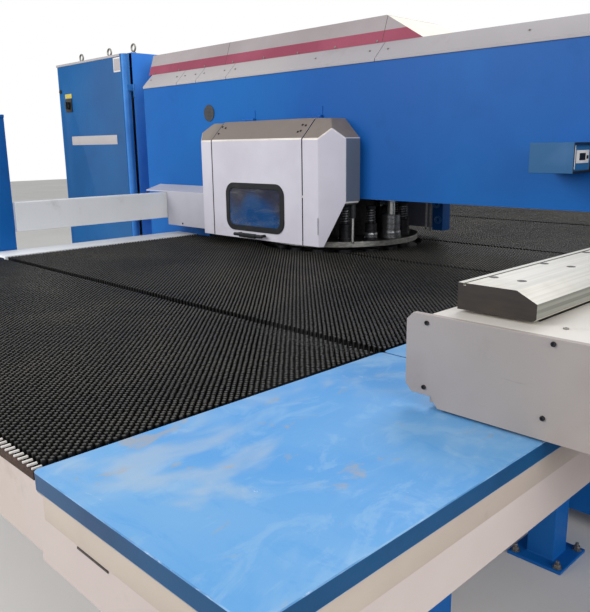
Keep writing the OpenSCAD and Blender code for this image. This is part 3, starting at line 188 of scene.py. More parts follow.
paintLooks = {
    "frameBlue": {"shades": ("0d549f", "1160aa", 0.9), "haze": ("2865a2", 0.55, 0.3),
        "paintedReflection": ("6f81aa", (0.9, 2.3), (1.4, 1.66)), "grime": ("1c3f6b", 5.0, 0.35), "scuff": ("b9cbe2", 9.0, 0.4),
        "gloss": 0.14, "roughness": 0.42, "scuffFrom": 0.74},
    # eased edges of the frame and the holder seats: a paler blue, a painted highlight, with scuffs of wear
    "frameEdgeWearAndHighlight": {"shades": ("3a74b8", "6d9dd2", 6.0), "grime": ("39434f", 16.0, 0.6),
        "scuff": ("d7e2ee", 22.0, 0.8), "scuffFrom": 0.55},
    "cabinetBlue": {"shades": ("044880", "08568f", 1.1), "haze": ("123f69", 0.8, 0.5),
        "grime": ("17375a", 4.0, 0.3), "scuff": ("9db8d2", 8.0, 0.35), "gloss": 0.14, "roughness": 0.4},
    # the door's rounded edge: a painted highlight, with scuffs
    "cabinetEdgeHighlight": {"shades": ("2a6ab4", "3f82cd", 3.0), "grime": ("3a5e86", 9.0, 0.3),
        "scuff": ("cfe0f2", 14.0, 0.5), "roughness": 0.4},
    "coverLavender": {"shades": ("c3bfca", "cfccd5", 1.6), "grime": ("a8a09e", 5.0, 0.4),
        "scuff": ("8f8a8c", 12.0, 0.35), "roughness": 0.48},
    "coverTaupe": {"shades": ("786e68", "857b73", 3.0), "grime": ("6a625d", 7.0, 0.45),
        "scuff": ("b4aca5", 12.0, 0.3)},
    "guardWhite": {"shades": ("dcdddd", "e4e5e6", 1.4), "grime": ("a9a6a0", 6.0, 0.5),
        "scuff": ("8d8a85", 13.0, 0.4)},
    "carriageWhite": {"shades": ("988e8a", "a49b97", 2.2), "haze": ("8f877f", 1.1, 0.7),
        "grime": ("857d76", 6.5, 0.5), "scuff": ("6f6863", 11.0, 0.45), "scuffStretch": (1.0, 1.0, 4.0),
        "scuffFrom": 0.66},
    "carriageTop": {"shades": ("cbc5bd", "d6d0c8", 2.0), "grime": ("a8a098", 7.0, 0.45),
        "scuff": ("8a837b", 12.0, 0.4)},
    "skirtBeige": {"shades": ("bfb2ae", "c9bdb8", 1.5), "haze": ("b3a69c", 0.9, 0.7), "grime": ("8f857a", 6.0, 0.4),
        "scuff": ("6e655d", 10.0, 0.35), "roughness": 0.52},
    "hoodGrey": {"shades": ("948b8c", "9f9798", 1.3), "grime": ("7f7674", 5.0, 0.4),
        "scuff": ("c8c2c0", 10.0, 0.35)},
    "trimGrey": {"shades": ("a09ca0", "aba6a6", 0.8), "grime": ("857d78", 5.0, 0.45),
        "scuff": ("d2cdca", 10.0, 0.35)},
    "hipCream": {"shades": ("dad3c2", "e2dccd", 2.0), "grime": ("b3a995", 6.0, 0.3), "scuff": ("a59b8a", 10.0, 0.3),
        "roughness": 0.55},
    "stripeRaspberry": {"shades": ("86394e", "934559", 2.5), "grime": ("6b3040", 8.0, 0.4),
        "scuff": ("b98591", 12.0, 0.3)},
    # the cabinet's side facing +x, brightened: painted light
    "cabinetSideLit": {"shades": ("3f8df0", "58a2fa", 1.4), "grime": ("25518a", 5.0, 0.3),
        "scuff": ("bcd3ee", 11.0, 0.35), "roughness": 0.4},
    "displayTeal": {"shades": ("255a86", "2c6493", 5.0), "haze": ("456e99", 7.0, 0.5),
        "grime": ("1f4568", 12.0, 0.3), "scuff": ("8fb0cf", 30.0, 0.3), "roughness": 0.4},
    "skirtOchre": {"shades": ("b0a398", "bbaea2", 2.0), "grime": ("857a6c", 7.0, 0.45),
        "scuff": ("6e655d", 12.0, 0.35), "roughness": 0.52},
    "coverSide": {"shades": ("b1b0ba", "bdbcc5", 1.8), "grime": ("8d8888", 6.0, 0.4),
        "scuff": ("857f80", 12.0, 0.3), "roughness": 0.48},
    "stepShade": {"shades": ("616a78", "717987", 2.0), "grime": ("525560", 6.0, 0.35),
        "scuff": ("b9b9c0", 12.0, 0.3)},
    "moduleGrey": {"shades": ("b9bbb8", "c6c8c5", 3.0), "grime": ("8c8d89", 9.0, 0.4),
        "scuff": ("6d6e6b", 16.0, 0.3)},
    "motorBlack": {"shades": ("1b1c1e", "26272a", 4.0), "grime": ("4a4641", 9.0, 0.4),
        "scuff": ("8b8c8e", 18.0, 0.4), "roughness": 0.45},
    "switchYellow": {"shades": ("b7a748", "c4b55c", 20.0), "grime": ("94843a", 40.0, 0.4),
        "scuff": ("e6dca0", 60.0, 0.3), "roughness": 0.45},
    "labelPale": {"shades": ("d3cec8", "dcd8d4", 12.0), "grime": ("a39d96", 30.0, 0.4),
        "scuff": ("908a84", 50.0, 0.3), "roughness": 0.55},
    # eased edges of the end plates: a paler blue, partly a painted highlight and partly wear
    "plateEdgeWearAndHighlight": {"shades": ("4f88bd", "86b2dc", 7.0), "grime": ("27567f", 9.0, 0.9),
        "scuff": ("e6eef6", 14.0, 0.9), "scuffFrom": 0.55, "roughness": 0.4},
    # the end plates' lips: a dark blue, painted shade, with scuffs
    "lipShadeBlue": {"shades": ("073a62", "0d4873", 2.5), "grime": ("0d2a43", 7.0, 0.5), "scuff": ("9cc0e0", 12.0, 0.5),
        "roughness": 0.4},
}
finishes = {name: paintedSteel(name, look) for name, look in paintLooks.items()}


# The blue end plates: sky blue worn to pale patches, rust marks, swirled scratches.
# A layer is its colour, cloud, band and amount; a cloud is its scale, detail, roughness, stretch and twist.
wornLook = {"gloss": 0.3, "shades": ("4f95d2", "6ba3d3"), "cloud": (1.3, 3.0, 0.5, (1.0, 1.3, 1.0), 0.5),
            "band": (0.34, 0.66), "roughness": 0.34, "brushedRough": 0.2, "grain": (120.0, 3.0),
            "scratchSink": -0.8, "bump": (0.0004, 0.3)}
wornLayers = {
    "brushed": ("4f95d2", (2.6, 5.0, 0.6, (0.7, 2.6, 1.0), 1.4), (0.5, 0.78), 0.7),
    "faded": ("8ab3d6", (1.9, 4.0, 0.6, (1.5, 1.0, 1.0), 1.0), (0.5, 0.66), 0.6),
    "swirled": ("8ab3d6", (6.5, 5.0, 0.65, (1.4, 0.8, 1.0), 2.2), (0.5, 0.66), 0.4),
    "sunk": ("4f95d2", (5.0, 5.0, 0.7, (0.7, 1.8, 1.0), 2.6), (0.56, 0.7), 0.45),
    "wiped": ("9fb3c6", (2.4, 3.0, 0.55, (1.8, 0.9, 1.0), 1.2), (0.48, 0.7), 0.65),
    "rusty": ("a29a8e", (8.5, 4.0, 0.6, (1.6, 1.0, 1.0), 0.6), (0.61, 0.72), 0.6),
    "scratched": ("cfdce6", (3.0, 7.0, 0.85, (1.0, 4.0, 1.0), 2.4), (0.66, 0.7), 0.5),
}


def wornPlateFinish(look, layers):
    finish = Finish("wornBlue", gloss=look["gloss"])
    strong, middle = look["shades"]
    wide = finish.cloud(*look["cloud"])
    colour = finish.mixed(finish.band(wide, *look["band"]), paint(strong), paint(middle))
    clouds, masks = {}, {}
    for name, (shade, cloud, band, amount) in layers.items():
        clouds[name] = finish.cloud(*cloud)
        masks[name] = finish.band(clouds[name], *band) * amount
        colour = finish.mixed(masks[name], colour, paint(shade))
    finish.put(Base_Color=colour, Roughness=look["roughness"] + clouds["brushed"] * look["brushedRough"])
    finish.bump(finish.cloud(*look["grain"]) + masks["scratched"] * look["scratchSink"], *look["bump"])
    return finish


finishes["wornBlue"] = wornPlateFinish(wornLook, wornLayers)


# Bare metal: brushed along one direction, with stains and a little wear.
# A metal gives its shades, its grain as scale and stretch, and its stain as colour, scale and amount.
metalBase = {"grainCloud": (3.0, 0.6), "grainBand": (0.35, 0.65), "grainRough": 0.12, "stainCloud": (5.0, 0.65),
             "stainBand": (0.52, 0.76), "stainRough": 0.2, "bump": 0.0003, "bumpStrength": 0.4}


def bareMetal(name, ownLook):
    look = {**metalBase, **ownLook}
    finish = Finish(name, metallic=look["metallic"])
    scale, stretch = look["grain"]
    grain = finish.cloud(scale, *look["grainCloud"], stretch)
    deep, light = look["shades"]
    colour = finish.mixed(finish.band(grain, *look["grainBand"]), paint(deep), paint(light))
    colour, stains = finish.layer(colour, look["stain"], look["stainBand"], *look["stainCloud"])
    finish.put(Base_Color=colour,
               Roughness=look["roughness"] + grain * look["grainRough"] + stains * look["stainRough"])
    finish.bump(grain, look["bump"], look["bumpStrength"])
    return finish


metalLooks = {
    "railSteel": {"shades": ("bfbbaf", "cecabf"), "grain": (6.0, (34.0, 0.2, 34.0)), "stain": ("a09a8b", 2.2, 0.5),
        "metallic": 0.15, "roughness": 0.34},
    # the rail's sides: a darker copy of the rail steel, painted shade
    "railSideShade": {"shades": ("77776e", "96968c"), "grain": (5.0, (20.0, 0.2, 34.0)), "stain": ("55544c", 2.5, 0.6),
        "metallic": 0.3, "roughness": 0.38},
    # a darker steel for the top of the upper turret and for the lower turret
    "turretDarkSteel": {"shades": ("232220", "383634"), "grain": (14.0, (4.0, 4.0, 4.0)), "stain": ("121110", 9.0, 0.6),
        "metallic": 0.5, "roughness": 0.5},
    # very dark steel: painted shade on the rail's end faces and in its holes
    "railShadeSteel": {"shades": ("1a130d", "281e16"), "grain": (8.0, (2.0, 1.0, 12.0)), "stain": ("3a2d23", 12.0, 0.5),
        "metallic": 0.1, "roughness": 0.5},
    "turretSteel": {"shades": ("8d8c88", "b8b7b2"), "grain": (7.0, (6.0, 6.0, 40.0)),
        "stain": ("4a4640", 14.0, 0.6), "metallic": 0.85, "roughness": 0.34},
    "toolSilver": {"shades": ("c2c2be", "e0e0dc"), "grain": (10.0, (8.0, 8.0, 60.0)),
        "stain": ("77736b", 30.0, 0.4), "metallic": 0.9, "roughness": 0.26},
    "toolDark": {"shades": ("26262a", "3c3d41"), "grain": (12.0, (8.0, 8.0, 40.0)), "stain": ("15130f", 26.0, 0.6),
        "metallic": 0.7, "roughness": 0.4},
    "castDark": {"shades": ("2f3032", "414347"), "grain": (30.0, (3.0, 3.0, 3.0)), "stain": ("1c1814", 12.0, 0.6),
        "metallic": 0.45, "roughness": 0.55, "bump": 0.0008},
    "springSteel": {"shades": ("77787b", "a5a6a9"), "grain": (10.0, (20.0, 20.0, 20.0)),
        "stain": ("2e2c29", 40.0, 0.4), "metallic": 0.8, "roughness": 0.25},
    "zincScrew": {"shades": ("6d6a66", "94918b"), "grain": (20.0, (10.0, 10.0, 10.0)),
        "stain": ("463c34", 50.0, 0.7), "metallic": 0.8, "roughness": 0.4},
    "blackScrew": {"shades": ("161617", "2a2a2c"), "grain": (20.0, (10.0, 10.0, 10.0)),
        "stain": ("4b423a", 50.0, 0.5), "metallic": 0.6, "roughness": 0.42},
    "brassOlive": {"shades": ("8a7a3f", "a8975a"), "grain": (12.0, (10.0, 10.0, 20.0)),
        "stain": ("3e3a24", 30.0, 0.6), "metallic": 0.6, "roughness": 0.36},
    # bright silver with little metal: a painted highlight on the cover folds and on the rods by the turret
    "silverHighlight": {"shades": ("cfc7c0", "e6dfd8"), "grain": (5.0, (1.0, 8.0, 20.0)), "stain": ("a59a8f", 8.0, 0.5),
        "metallic": 0.1, "roughness": 0.35},
}
finishes.update({name: bareMetal(name, look) for name, look in metalLooks.items()})


# Moulded black plastic and rubber: fine grain, dull dust in the hollows.
# A look gives its shades with the grain's scale, and its dust as colour, scale and amount.
mouldedBase = {"gloss": 0.22, "grainDetail": 2.0, "grainBand": (0.4, 0.62), "dustBand": (0.5, 0.75),
               "dustCloud": (4.0, 0.65), "dustRough": 0.3, "bump": (0.0003, 0.4)}


def mouldedBlack(name, ownLook):
    look = {**mouldedBase, **ownLook}
    finish = Finish(name, gloss=look["gloss"])
    deep, light, scale = look["shades"]
    grain = finish.cloud(scale, look["grainDetail"])
    colour = finish.mixed(finish.band(grain, *look["grainBand"]), paint(deep), paint(light))
    colour, dust = finish.layer(colour, look["dust"], look["dustBand"], *look["dustCloud"])
    finish.put(Base_Color=colour, Roughness=look["roughness"] + dust * look["dustRough"])
    finish.bump(grain, *look["bump"])
    return finish


blackLooks = {
    "blackPlastic": {"shades": ("141516", "202224", 420.0), "dust": ("4c4a47", 18.0, 0.4), "roughness": 0.34},
    "windowRubber": {"shades": ("121315", "1d1e20", 300.0), "dust": ("3c3b3a", 14.0, 0.3), "roughness": 0.55},
    "brownRubber": {"shades": ("33241f", "44322b", 220.0), "dust": ("6a5a50", 9.0, 0.5), "roughness": 0.6},
    "seamDark": {"shades": ("3c3836", "4b4643", 260.0), "dust": ("6a6560", 12.0, 0.4), "roughness": 0.65},
    "brushBoard": {"shades": ("0d0d0d", "161615", 180.0), "dust": ("2b2823", 5.0, 0.5), "roughness": 0.7},
}
finishes.update({name: mouldedBlack(name, look) for name, look in blackLooks.items()})


# Tufts: black nylon, paler towards the tips, partly a painted highlight and partly dust in drifts as on a used table.
tuftLook = {"root": "050505", "litTip": "2a2926", "dustyLitTip": "434039", "roughness": 0.5,
            "tipBand": (0.9445, 0.9497), "drift": (1.6, 5.0, 0.65, None, 0.8), "driftBand": (0.4, 0.7),
            "chip": ("85817a", 60.0, 0.35), "chipBand": (0.62, 0.8), "chipCloud": (2.0, 0.8)}


def tuftFinish(look):
    finish = Finish("brushTufts", roughness=look["roughness"])
    # the top of each tuft takes the paler colour: a painted highlight, with dust
    tip = finish.band(finish.axis("Z"), *look["tipBand"])
    drift = finish.band(finish.cloud(*look["drift"]), *look["driftBand"])
    tipColour = finish.mixed(drift, paint(look["litTip"]), paint(look["dustyLitTip"]))
    tipColour = finish.layer(tipColour, look["chip"], look["chipBand"], *look["chipCloud"])[0]
    finish.put(Base_Color=finish.mixed(tip, paint(look["root"]), tipColour))
    return finish


finishes["brushTufts"] = tuftFinish(tuftLook)

# Window glass: half see-through with smears; its purple-grey and blue patches are a painted reflection
glassLook = {"roughness": 0.06, "reflectionTints": ("47454f", "28578f"), "reflectionCloud": (3.4, 1.0, 0.4),
             "reflectionBand": (0.42, 0.58), "smear": "6a6b74", "smearCloud": (9.0, 4.0, 0.6, (1.0, 1.0, 2.5), 0.8),
             "smearBand": (0.45, 0.8), "smearAmount": 0.6, "smearRough": 0.14, "alpha": 0.5, "smearAlpha": 0.2}


def glassFinish(look):
    finish = Finish("windowGlass")
    smears = finish.band(finish.cloud(*look["smearCloud"]), *look["smearBand"])
    reflectionTints = [paint(reflectionTint) for reflectionTint in look["reflectionTints"]]
    reflectionTint = finish.mixed(finish.band(finish.cloud(*look["reflectionCloud"]), *look["reflectionBand"]), *reflectionTints)
    finish.put(Base_Color=finish.mixed(smears * look["smearAmount"], reflectionTint, paint(look["smear"])),
               Alpha=look["alpha"] + smears * look["smearAlpha"],
               Roughness=look["roughness"] + smears * look["smearRough"])
    return finish


finishes["windowGlass"] = glassFinish(glassLook)
print("finishes made:", len(finishes))


# Modelling helpers
def mm(*values):
    return Vector([value / 1000 for value in values])


def newObject(name, data):
    made = bpy.data.objects.new(name, data)
    bpy.context.scene.collection.objects.link(made)
    return made


def meshFrom(name, shape):
    mesh = bpy.data.meshes.new(name)
    shape.to_mesh(mesh)
    shape.free()
    return mesh


def bodyOf(node):
    return nodes[node]["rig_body"]


def slotOf(node):
    return next(part["material_slot"] for part in frame["record"]["subparts"] if part["node"] == node)


# a piece rides with the body of a node; the slot of that node, or of another node, is looked up but not used
def addPiece(name, mesh, looks, node, angle=35, slotNode=None):
    body, slotName = bodyOf(node), slotOf(slotNode or node)
    piece = newObject(name, mesh)
    for look in looks:
        mesh.materials.append(finishes[look].material)
    mesh.shade_smooth()
    mesh.set_sharp_from_angle(angle=math.radians(angle))
    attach(piece, body)
    return piece


def fromBmesh(name, shape, looks, node, angle=35, slotNode=None):
    bmesh.ops.recalc_face_normals(shape, faces=shape.faces)
    return addPiece(name, meshFrom(name, shape), looks, node, angle, slotNode)


# each item once, in an order that stays the same from run to run
def unique(items):
    return list(dict.fromkeys(items))


def addBlock(shape, low, high, bevel=0.0, look=0, segments=2):
    size = high - low
    place = Matrix.Translation((low + high) / 2) @ Matrix.Diagonal((*size, 1.0))
    before = set(shape.faces)
    corners = bmesh.ops.create_cube(shape, size=1.0, matrix=place)["verts"]
    if bevel:
        edges = unique(edge for corner in corners for edge in corner.link_edges)
        bmesh.ops.bevel(shape, geom=edges, offset=bevel, affect="EDGES", segments=segments, profile=0.5, material=-1)
    for face in shape.faces:
        if face not in before:
            face.material_index = look


# a turned part: its outline is (radius, height) pairs in mm, spun about an axis through a point
def addTurned(shape, outline, centre, axis=(0, 0, 1), steps=24, look=0):
    turn = Vector(axis).to_track_quat("Z", "Y").to_matrix().to_4x4()
    place = Matrix.Translation(centre) @ turn
    line = [shape.verts.new(place @ mm(radius, 0, height)) for radius, height in outline]
    edges = [shape.edges.new(pair) for pair in zip(line, line[1:])]
    before = set(shape.faces)
    bmesh.ops.spin(shape, geom=line + edges, cent=centre, axis=place.to_3x3() @ Vector((0, 0, 1)),
                   angle=math.tau, steps=steps, use_merge=True)
    made = [face for face in shape.faces if face not in before]
    bmesh.ops.remove_doubles(shape, verts=unique(v for face in made for v in face.verts), dist=1e-6)
    for face in shape.faces:
        if face not in before:
            face.material_index = look


# a socket head screw standing on a surface, in shares of its radius and height, round a core of almost no radius
screwShares = ((0.5, 0.35), (0.52, 0.95), (0.62, 1), (0.9, 1), (1, 0.85), (1, 0))
screwCore, screwSteps = 0.001, 12


def screwOutline(radius, height):
    outline = [(radius * out, height * up) for out, up in screwShares]
    return [(screwCore, outline[0][1])] + outline


# a round wire wound upwards: radius, wire radius and heights in mm
coilLook = {"sides": 6, "stepsPerTurn": 14}


def addCoil(shape, centre, radius, wire, turns, bottom, top):
    steps, sides = round(turns * coilLook["stepsPerTurn"]), coilLook["sides"]
    place = Matrix.Translation(centre + mm(radius, 0, bottom + wire)) @ Matrix.Rotation(math.radians(90), 4, "X")
    before = set(shape.faces)
    ring = bmesh.ops.create_circle(shape, cap_ends=False, segments=sides, radius=wire / 1000, matrix=place)["verts"]
    edges = unique(edge for corner in ring for edge in corner.link_edges)
    rise = (top - bottom - 2 * wire) / 1000 / steps
    bmesh.ops.spin(shape, geom=ring + edges, cent=centre, axis=(0, 0, 1), dvec=(0, 0, rise),
                   angle=math.tau * turns, steps=steps)
    made = [face for face in shape.faces if face not in before]
    rim = unique(edge for face in made for edge in face.edges if len(edge.link_faces) == 1)
    bmesh.ops.holes_fill(shape, edges=rim, sides=sides)


# turned parts of one kind on one node, at places in mm
def addTurnedSet(name, node, look, outline, places, axis=(0, 0, 1), steps=24, angle=35, slotNode=None):
    shape = bmesh.new()
    for place in places:
        addTurned(shape, outline, mm(*place), axis, steps)
    fromBmesh(name, shape, [look], node, angle, slotNode)


def addScrewSet(name, node, look, axis, radius, height, places):
    addTurnedSet(name, node, look, screwOutline(radius, height), places, axis, screwSteps)


# screws of one kind on both long sides of the frame, leaning up by a share; places are those of the rear
sideNames = {-1: "Front", 1: "Rear"}


def addSideScrews(name, node, look, lean, radius, height, places):
    for side, sideName in sideNames.items():
        addScrewSet(name + sideName, node, look, (0, side, lean), radius, height,
                    [(x, side * y, z) for x, y, z in places])


# eased plates or bars on one node: each is its low corner, high corner, bevel in mm and look
def addBars(name, node, looks, bars, segments=2):
    shape = bmesh.new()
    for low, high, bevel, look in bars:
        addBlock(shape, mm(*low), mm(*high), bevel / 1000, look, segments)
    fromBmesh(name, shape, looks, node)


def shifted(place, by):
    return [value + shift for value, shift in zip(place, by)]


def movedBar(bar, by):
    low, high, *rest = bar
    return (shifted(low, by), shifted(high, by), *rest)


# the box of a node in mm
def boxOf(node):
    return [[value * 1000 for value in corner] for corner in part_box(node)]


# a CAD mesh with its doubled corners merged and its flat faces joined
mergeLook = {"gap": 3e-6, "flat": 0.4}


def mergedCopy(node):
    shape = bmesh.new()
    shape.from_mesh(nodes[node].data)
    bmesh.ops.remove_doubles(shape, verts=shape.verts, dist=mergeLook["gap"])
    bmesh.ops.dissolve_limit(shape, angle_limit=math.radians(mergeLook["flat"]), verts=shape.verts,
                             edges=shape.edges)
    for face in shape.faces:
        face.material_index = 0
    shape.normal_update()
    return shape


# rounds the folds of a sheet: outer edges by the outer radius, inner edges by the inner one
foldLook = {"least": 15, "most": 80, "ease": 0.42, "segments": 4, "inner": 0.0004}


def roundFolds(shape, radius, wall, shortest=0.05):
    for isOuter, size in ((True, radius), (False, max(radius - wall, foldLook["inner"]))):
        folds = [edge for edge in shape.edges
                 if len(edge.link_faces) == 2 and edge.calc_length() > shortest
                 and foldLook["least"] < math.degrees(edge.calc_face_angle(0.0)) < foldLook["most"]
                 and edge.is_convex == isOuter]
        if folds:
            bmesh.ops.bevel(shape, geom=folds, offset=size * foldLook["ease"], affect="EDGES",
                            segments=foldLook["segments"], profile=0.5, material=-1)


# a dressed copy of a CAD node stands for it: merged, optionally reworked, with its edges eased by a width in mm
def dress(node, looks, width, segments=2, rework=None, edgeLook=-1, limit=40):
    shape = mergedCopy(node)
    if rework:
        rework(shape)
    piece = addPiece(node + "Dressed", meshFrom(node + "Dressed", shape), looks, node)
    ease = piece.modifiers.new("easedEdges", "BEVEL")
    ease.width = width / 1000
    ease.segments = segments
    ease.limit_method = "ANGLE"
    ease.angle_limit = math.radians(limit)
    ease.harden_normals = True
    ease.material = edgeLook
    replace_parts(piece, node)


def finishNodes(looks):
    for node, look in looks.items():
        slots = nodes[node].data.materials
        slots.clear()
        slots.append(finishes[look].material)


# Camera, floor and light
cameraLook = {"place": (2.100, -2.780, 1.450), "yaw": 45.57, "pitch": 13.00, "roll": -0.80, "lens": 41.04,
              "sensor": 36.0, "reach": 100.0}


def addCamera(look):
    data = bpy.data.cameras.new("photoCamera")
    data.sensor_width = look["sensor"]
    data.lens = look["lens"]
    data.clip_end = look["reach"]
    camera = newObject("photoCamera", data)
    turn = (Matrix.Rotation(math.radians(look["yaw"]), 4, "Z")
            @ Matrix.Rotation(math.radians(90 - look["pitch"]), 4, "X")
            @ Matrix.Rotation(math.radians(look["roll"]), 4, "Z"))
    camera.matrix_world = Matrix.Translation(look["place"]) @ turn
    bpy.context.scene.camera = camera


studioLook = {
    "worldStrength": 0.6, "worldColour": "f3f5f8", "backdrop": (1.0, 1.0, 1.0, 1.0),
    "floorColours": ("d9d7d3", "dfddd9"), "floorCloud": (0.7, 4.0), "floorBand": (0.35, 0.7),
    "floorRoughness": 0.85, "floorHalf": 30.0,
    "lamps": {"sideLamp": {"place": (6.6, -2.4, 3.0), "aim": (-1.4, -0.2, 1.2), "size": 3.5, "power": 180.0},
              "skyLamp": {"place": (-0.4, 3.4, 5.6), "aim": (0.0, -0.6, 0.9), "size": 3.6, "power": 190.0},
              "frontLamp": {"place": (-2.6, -6.2, 3.6), "aim": (-0.4, -0.4, 1.2), "size": 3.5, "power": 300.0}}}


def addLamp(name, look):
    data = bpy.data.lights.new(name, "AREA")
    data.shape = "SQUARE"
    data.size = look["size"]
    data.energy = look["power"]
    lamp = newObject(name, data)
    aim = Vector(look["aim"]) - Vector(look["place"])
    lamp.matrix_world = Matrix.Translation(look["place"]) @ aim.to_track_quat("-Z", "Y").to_matrix().to_4x4()


# a soft world lights the machine; camera, mirror and glass rays see a white one
def addWorld(look):
    world = bpy.data.worlds.new("studioWorld")
    bpy.context.scene.world = world
    world.use_nodes = True
    tree = world.node_tree
    tree.nodes.clear()
    kinds = ("LightPath", "Math", "Math", "Background", "Background", "MixShader", "OutputWorld")
    rays, seen, through, soft, white, both, output = (tree.nodes.new("ShaderNode" + kind) for kind in kinds)
    seen.operation = through.operation = "MAXIMUM"
    soft.inputs["Color"].default_value = paint(look["worldColour"])
    soft.inputs["Strength"].default_value = look["worldStrength"]
    white.inputs["Color"].default_value = look["backdrop"]
    for source, out, target, into in ((rays, "Is Camera Ray", seen, 0), (rays, "Is Glossy Ray", seen, 1),
                                      (seen, 0, through, 0), (rays, "Is Transmission Ray", through, 1),
                                      (through, 0, both, 0), (soft, 0, both, 1), (white, 0, both, 2),
                                      (both, 0, output, "Surface")):
        tree.links.new(source.outputs[out], target.inputs[into])


def addFloor(look):
    finish = Finish("floorPale", roughness=look["floorRoughness"])
    patches = finish.band(finish.cloud(*look["floorCloud"]), *look["floorBand"])
    finish.put(Base_Color=finish.mixed(patches, *(paint(colour) for colour in look["floorColours"])))
    shape = bmesh.new()
    bmesh.ops.create_grid(shape, x_segments=1, y_segments=1, size=look["floorHalf"])
    floor = newObject("studioFloor", meshFrom("studioFloor", shape))
    floor.data.materials.append(finish.material)


addCamera(cameraLook)
addWorld(studioLook)
for name, lamp in studioLook["lamps"].items():
    addLamp(name, lamp)
addFloor(studioLook)
bpy.context.scene.view_settings.view_transform = "Standard"
print("camera, floor and light placed")


# Closed frame, its covers and the cabinet: a rework may cut a copy and gives some faces another look.
# A face looks along an axis where its normal goes beyond this.
facing = 0.9


# a test takes a face's normal and middle
def colourFaces(shape, look, test):
    shape.normal_update()
    for face in shape.faces:
        if test(face.normal, face.calc_center_median()):
            face.material_index = look


# a rework that gives look 1 to the faces of the first test, look 2 to those of the second, and so on
def coloured(*tests):
    def rework(shape):
        for look, test in enumerate(tests, 1):
            colourFaces(shape, look, test)
    return rework


def cutAcross(shape, point, normal):
    geometry = list(shape.verts) + list(shape.edges) + list(shape.faces)
    bmesh.ops.bisect_plane(shape, geom=geometry, dist=1e-6, plane_co=point, plane_no=normal)


hoodLook = {"stripeTop": 1.934, "sideFrom": 0.7, "hipFrom": 0.3, "seams": (-1.02, 0.066), "seamWidth": 0.003}


def reworkHood(shape, look=hoodLook):
    cutAcross(shape, (0, 0, look["stripeTop"]), (0, 0, 1))
    for x in look["seams"]:
        cutAcross(shape, (x, 0, 0), (1, 0, 0))
        cutAcross(shape, (x + look["seamWidth"], 0, 0), (1, 0, 0))
    colourFaces(shape, 1, lambda n, c: abs(n.y) > look["sideFrom"] and c.z < look["stripeTop"])
    colourFaces(shape, 2, lambda n, c: n.x > look["hipFrom"] and n.z > look["hipFrom"])
    colourFaces(shape, 3, lambda n, c: any(x < c.x < x + look["seamWidth"] for x in look["seams"]))


coverLook = {"radius": 0.012, "wall": 0.003, "roofAbove": 1.43, "roof": 0.62, "step": 0.08, "stepSide": 0.6,
             "sideBehind": -0.42}


# roof faces take taupe; the rounded folds between front and roof take bright silver, a painted highlight; faces
# toward +x behind the front take painted shade
def reworkCover(shape, look=coverLook):
    roundFolds(shape, look["radius"], look["wall"])
    colourFaces(shape, 1, lambda n, c: n.z > look["roof"] and c.z > look["roofAbove"])
    colourFaces(shape, 2, lambda n, c: look["step"] < n.z < look["roof"] and abs(n.y) > look["stepSide"]
                and c.z > look["roofAbove"])
    colourFaces(shape, 3, lambda n, c: n.x > facing and c.y > look["sideBehind"])


# the roomy recess of the display faces the carriage side
displayLook = {"recess": 0.0199, "rim": 0.006}


def reworkDisplay(shape, look=displayLook):
    low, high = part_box("display_box")
    colourFaces(shape, 1, lambda n, c: c.x > high[0] - look["recess"]
                and low[1] + look["rim"] < c.y < high[1] - look["rim"]
                and low[2] + look["rim"] < c.z < high[2] - look["rim"])


# the door's rounded right edge takes a paler blue, a painted highlight, and the plate behind its switch is black
doorLook = {"edge": 0.05, "edgeFacing": 0.2, "front": -0.97, "skin": 0.0075, "switchReach": 0.05}


def reworkCabinetDoor(shape, look=doorLook):
    low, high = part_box("cabinet_door")
    switch = [(first + second) / 2 for first, second in zip(*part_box("main_switch"))]
    colourFaces(shape, 1, lambda n, c: c.x > high[0] - look["edge"] and n.y > look["front"]
                and (n.x > look["edgeFacing"] or n.y > facing))
    colourFaces(shape, 2, lambda n, c: c.y < low[1] + look["skin"] and abs(c.x - switch[0]) < look["switchReach"]
                and abs(c.z - switch[2]) < look["switchReach"])


topLook = {"cabinetAbove": 2.0, "plateTop": 0.5, "turretAbove": 1.0}
# the cabinet's side facing +x takes a brighter blue, painted light; its top faces take the grey of the top cap
reworkCabinet = coloured(lambda n, c: n.x > facing, lambda n, c: n.z > facing and c.z > topLook["cabinetAbove"])
# faces that are no tops take a second look: on the end plates a dark blue, painted shade
reworkPlate = coloured(lambda n, c: n.z < topLook["plateTop"])
# the upper turret's top faces, and all faces above 1 m, take a darker steel
reworkTurret = coloured(lambda n, c: n.z > facing or c.z > topLook["turretAbove"])
# the rail's end faces take a very dark steel and its sides a darker grey: painted shade
reworkRail = coloured(lambda n, c: abs(n.y) > facing, lambda n, c: abs(n.x) > facing)
trimFolds = {"radius": 0.006, "wall": 0.003, "shortest": 0.1}
stepFolds = {"radius": 0.005, "wall": 0.003}

dress("o_frame", ["frameBlue", "frameEdgeWearAndHighlight"], 3.0, edgeLook=1)
dress("beam_cover", ["trimGrey"], 0.5, 1, lambda shape: roundFolds(shape, **trimFolds))
dress("roof_hood", ["hoodGrey", "stripeRaspberry", "hipCream", "seamDark"], 1.2, rework=reworkHood)
dress("face_plug", ["castDark"], 1.2)
dress("display_box", ["displayTeal", "blackPlastic"], 1.5, rework=reworkDisplay)
for node in ("left_cover", "right_cover", "rear_cover", "cover_door"):
    dress(node, ["coverLavender", "coverTaupe", "silverHighlight", "stepShade"], 0.6, 1, reworkCover)
dress("window_rubber", ["windowRubber"], 2.2, 3)
dress("door_handle", ["blackPlastic"], 1.5)
dress("hinge_brackets", ["frameBlue"], 0.8)
dress("door_hinges", ["frameBlue"], 0.8)
dress("cabinet_body", ["cabinetBlue", "cabinetSideLit", "trimGrey"], 1.5, rework=reworkCabinet)
